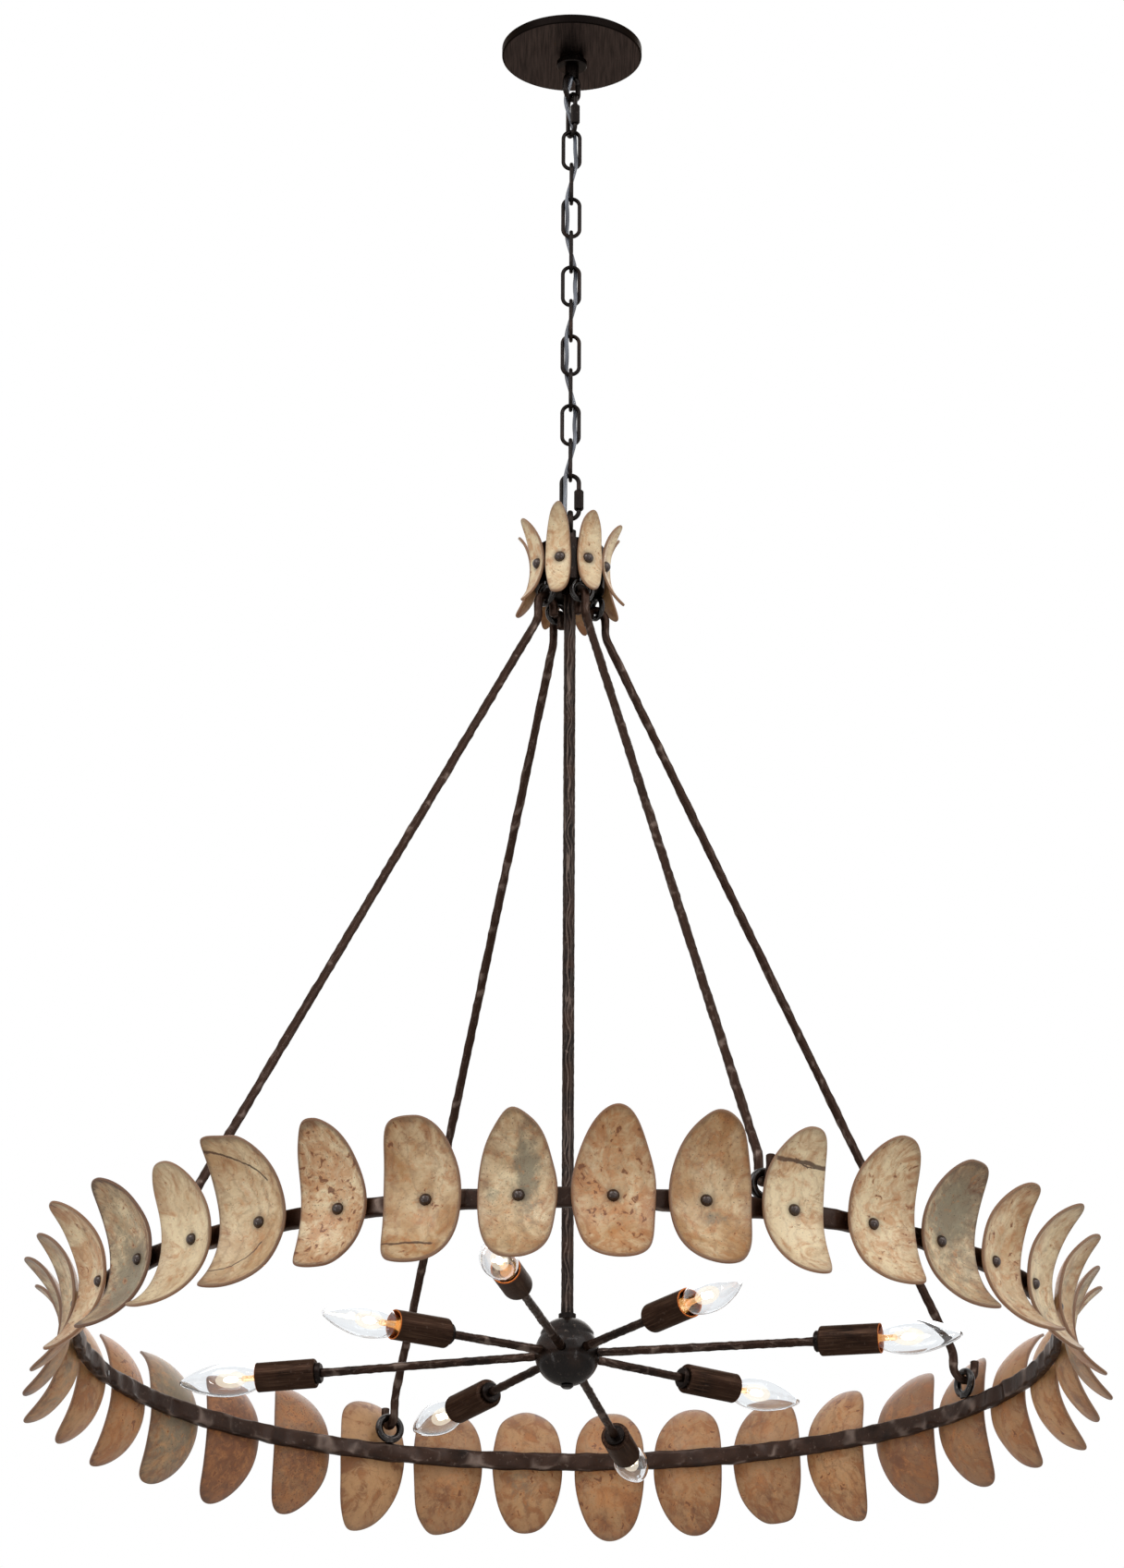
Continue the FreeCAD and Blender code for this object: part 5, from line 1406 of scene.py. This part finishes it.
def cable_spans(head, tail):
    """The cable's lengths: name, top, foot, level of the joint, and the bodies that carry it."""
    links = range(LINK_COUNT)
    link_middle = FIRST_LINK_TOP - LINK_HEIGHT / 2
    cuts = (head, UPPER_QUICK_MIDDLE, *(link_middle - index * LINK_STEP for index in links),
            LOWER_QUICK_FOOT + LOWER_QUICK_HEIGHT / 2, tail)
    bodies = ("ceiling", "upper_quick", *("link_%02d" % (index + 1) for index in links),
              "lower_quick", "fixture")
    joints = (LOOP_FOOT, *(FIRST_LINK_TOP - index * LINK_STEP for index in links),
              FIRST_LINK_TOP - LINK_COUNT * LINK_STEP - 4 * MM, HUB_LOOP_TOP - 3 * MM)
    for number, level in enumerate(joints):
        name = "cable_%02d" % (number + 1)
        top, foot = cuts[number:number + 2]
        if name in CABLE_SPLIT:
            yield name + "_upper", top, level, level, bodies[number:number + 1]
            yield name + "_lower", level, foot, level, bodies[number + 1:number + 2]
        else:
            yield name, top, foot, level, bodies[number:number + 2]


def cable():
    """One woven cable in lengths that meet inside the links; each bends across one joint."""
    line = cable_line()
    line = line[np.argsort(-line[:, 2])]
    clear, tree, shader = material("Clear cable", Coat_Weight=0.4, Coat_Roughness=0.12, Metallic=0.1)
    strand = add(tree, "TexWave", {"Vector": stretched(tree, laid(tree), 1.0, 0.12, 1.0), "Scale": 0.9,
                                   "Distortion": 0.6}, bands_direction="DIAGONAL").outputs["Fac"]
    cloud = noise(tree, spot(tree), 90.0)
    base = mixed(tree, strand, linear((0.24, 0.25, 0.285)), linear((0.38, 0.40, 0.44)))
    feed(tree, shader, Base_Color=base, Roughness=maths(tree, "MULTIPLY_ADD", cloud, 0.3, 0.15),
         Normal=bumped(tree, strand, strength=0.2, distance=0.0003))
    sides, rows, reach = 20, 33, 11 * MM        # sides round the cable and rows along each length
    angles = np.linspace(0, TURN, sides, endpoint=False)
    for name, top, foot, level, carriers in cable_spans(line[0, 2], line[-1, 2]):
        heights = np.linspace(top, foot, rows)
        x, y = (np.interp(-heights, -line[:, 2], line[:, axis]) for axis in (0, 1))
        path = np.stack((x, y, heights), axis=-1)
        radii = np.full((len(path), 1), CABLE_RADIUS)
        points = carried(path, *axes_about(path), radii, angles)
        first, last = (np.broadcast_to(path[row], (1, sides, 3)) for row in (0, -1))
        points = np.concatenate((first, points, last))
        run = np.concatenate((heights[:1], heights, heights[-1:])) * 100
        mesh = surface(name, points, wrap_columns=True, uv=unrolled(1, sides, run))
        made = shown(name, mesh, clear, "cable", "supply_cable")
        if len(carriers) == 1:
            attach(made, *carriers)
        else:
            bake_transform(made)


# Pieces that keep their solids

# Finish of each metal fitting: name, brownness, wear, hammer scale, relief, its depth, and coat
FINISHES = {
    "smooth": ("Chain bronze", 0.05, 0.12, 160.0, 0.25, 0.0004, 0.12),
    "rough": ("Cast bronze", 0.10, 0.25, 110.0, 0.5, 0.0008, 0.10),
    "glossy": ("Welded eye bronze", 0.0, 0.30, 120.0, 0.4, 0.0008, 0.8),
    "rivet": ("Rivet bronze", 1.20, 0.20, 220.0, 0.25, 0.0003, 1.0),
    "ball": ("Ball bronze", 0.05, 0.30, 60.0, 1.0, 0.0024, 0.3),
}
# Finish of each plain fitting: name, metallic, cloud scale, its two colours, least roughness
PLAIN_FINISHES = {
    "zinc": ("Zinc plate", 1.0, 60.0, (0.62, 0.63, 0.64), (0.78, 0.78, 0.78), 0.2),
    "brass": ("Earth screw brass", 1.0, 200.0, (0.30, 0.52, 0.30), (0.36, 0.60, 0.36), 0.2),
    "holder": ("Moulded holder", 0.0, 120.0, (0.10, 0.08, 0.07), (0.18, 0.13, 0.10), 0.3),
}
FITTINGS = {
    "crossbar": "zinc", "nipple": "zinc", "nipple_nuts": "zinc", "earth_screw": "brass",
    "canopy": "canopy", "canopy_collar": "smooth", "ceiling_loop": "smooth",
    "upper_quick_link": "smooth", "upper_sleeve": "smooth", "lower_quick_link": "smooth",
    "lower_sleeve": "smooth", "hub_loop": "smooth", "hub_nuts": "smooth", "crown_lid": "smooth",
    "crown_cup": "rough", "crown_eyes": "glossy", "ring_eyes": "glossy", "crown_rivets": "rivet",
    "ring_rivets": "rivet", "stem_collars": "rough", "stem_nut": "smooth", "ball_bowl": "ball",
    "ball_lid": "ball", "ball_finial": "ball", "arm_nuts": "rough", "lampholders": "holder",
}


def fittings():
    """Gives each solid that stays visible its own finish."""
    looks = {kind: bronze(*values) for kind, values in FINISHES.items()}
    looks.update((kind, clouded(*values)) for kind, values in PLAIN_FINISHES.items())
    looks["canopy"] = canopy_bronze()
    for name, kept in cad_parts.items():
        look = FITTINGS.get(name, "smooth" if name.startswith("chain_link") else None)
        if look:
            kept.data.materials.clear()
            kept.data.materials.append(looks[look])
            kept.data.update()


# Stage

def surround(level):
    """A world that lights at a level and shows as white where it is seen, also in metal and glass."""
    world = bpy.data.worlds.new("surround")
    world.use_nodes = True
    tree = world.node_tree
    tree.nodes.clear()
    path = add(tree, "LightPath").outputs
    seen = maths(tree, "MAXIMUM", path["Is Camera Ray"],
                 maths(tree, "MAXIMUM", path["Is Glossy Ray"], path["Is Transmission Ray"]))
    strength = add(tree, "Mix", {0: seen, 2: level, 3: 1.0}, data_type="FLOAT").outputs[0]
    light = add(tree, "Background", {"Color": (1.0, 1.0, 1.0, 1.0), "Strength": strength})
    out = tree.nodes.new("ShaderNodeOutputWorld")
    tree.links.new(light.outputs[0], out.inputs["Surface"])
    return world


def stage():
    """Camera, soft light, a pale floor and a white surround."""
    looks = bpy.context.scene.chandelier_stage
    scene = bpy.context.scene
    scene.view_settings.view_transform = "Standard"
    scene.world = surround(looks.sky)
    lens = bpy.data.cameras.new("view")
    lens.sensor_fit = "VERTICAL"
    lens.sensor_height = FILM_HEIGHT
    lens.lens = LENS
    camera = bpy.data.objects.new("view", lens)
    camera.location = VIEWPOINT
    camera.rotation_euler = [math.radians(turn) for turn in VIEW_TURNS]
    scene.collection.objects.link(camera)
    scene.camera = camera

    for name, place, wide, high, setting, part in STAGE_LAMPS:
        lamp = bpy.data.lights.new(name, "AREA")
        lamp.shape = "RECTANGLE"
        lamp.size = wide
        lamp.size_y = high
        lamp.energy = getattr(looks, setting) * part
        holder = bpy.data.objects.new(name, lamp)
        x, y, z = np.subtract(STAGE_AIM, place)
        holder.location = place
        holder.rotation_euler = (math.atan2(math.hypot(x, y), -z), 0.0, math.atan2(-x, y))
        scene.collection.objects.link(holder)

    corners = [(x * FLOOR_REACH, y * FLOOR_REACH, looks.floor)
               for x, y in ((-1, -1), (1, -1), (1, 1), (-1, 1))]
    mesh = bpy.data.meshes.new("floor")
    mesh.from_pydata(corners, [], [(0, 1, 2, 3)])
    pale, tree, shader = material("Pale floor", Roughness=0.8)
    cloud = noise(tree, spot(tree), 3.0)
    feed(tree, shader, Base_Color=mixed(tree, cloud, linear((0.90, 0.90, 0.89)),
                                        linear((0.93, 0.93, 0.92))))
    mesh.materials.append(pale)
    floor = bpy.data.objects.new("floor", mesh)
    scene.collection.objects.link(floor)


# Operators

def operator(name, label, about, work):
    """An operator class that runs one piece's function."""
    def execute(self, context):
        work()
        return {"FINISHED"}
    return type("CHANDELIER_OT_" + name, (bpy.types.Operator,),
                {"bl_idname": "chandelier." + name, "bl_label": label,
                 "bl_options": {"REGISTER", "UNDO"}, "__doc__": about, "execute": execute})


STEPS = (
    ("stage", "Stage", "Camera, lights, floor and surround", stage),
    ("cable", "Cable", "The woven supply cable", cable),
    ("ring_shells", "Ring shells", "Thirty-six worn shells round the ring", ring_shells),
    ("crown_shells", "Crown shells", "Eight slim shells round the crown", crown_shells),
    ("ring_bar", "Ring bar", "The forged bar of the ring", ring_bar),
    ("rods", "Rods", "Four hammered rods with hooks", rods),
    ("arms", "Arms", "Eight hammered lamp arms", arms),
    ("stem", "Stem", "The grained middle stem", stem),
    ("covers", "Covers", "Eight lamp covers with a copper inside", covers),
    ("bulbs", "Bulbs", "Eight clear lit lamps", bulbs),
    ("fittings", "Fittings", "Finishes of the solids that stay visible", fittings),
)
OPERATORS = tuple(operator(*step) for step in STEPS)


class CHANDELIER_PT_panel(bpy.types.Panel):
    """Lists the chandelier's pieces."""
    bl_label = "Chandelier"
    bl_idname = "CHANDELIER_PT_panel"
    bl_space_type = "VIEW_3D"
    bl_region_type = "UI"
    bl_category = "Chandelier"

    def draw(self, context):
        for name, *_ in STEPS:
            self.layout.operator("chandelier." + name)


CLASSES = (ShellSettings, MetalSettings, StageSettings) + OPERATORS + (CHANDELIER_PT_panel,)


def register():
    for kind in CLASSES:
        bpy.utils.register_class(kind)
    bpy.types.Scene.chandelier_shells = bpy.props.PointerProperty(type=ShellSettings)
    bpy.types.Scene.chandelier_metal = bpy.props.PointerProperty(type=MetalSettings)
    bpy.types.Scene.chandelier_stage = bpy.props.PointerProperty(type=StageSettings)


def unregister():
    del bpy.types.Scene.chandelier_stage
    del bpy.types.Scene.chandelier_metal
    del bpy.types.Scene.chandelier_shells
    for kind in reversed(CLASSES):
        bpy.utils.unregister_class(kind)


def main():
    register()
    for name, *_ in STEPS:
        getattr(bpy.ops.chandelier, name)()


if __name__ == "__main__":
    main()
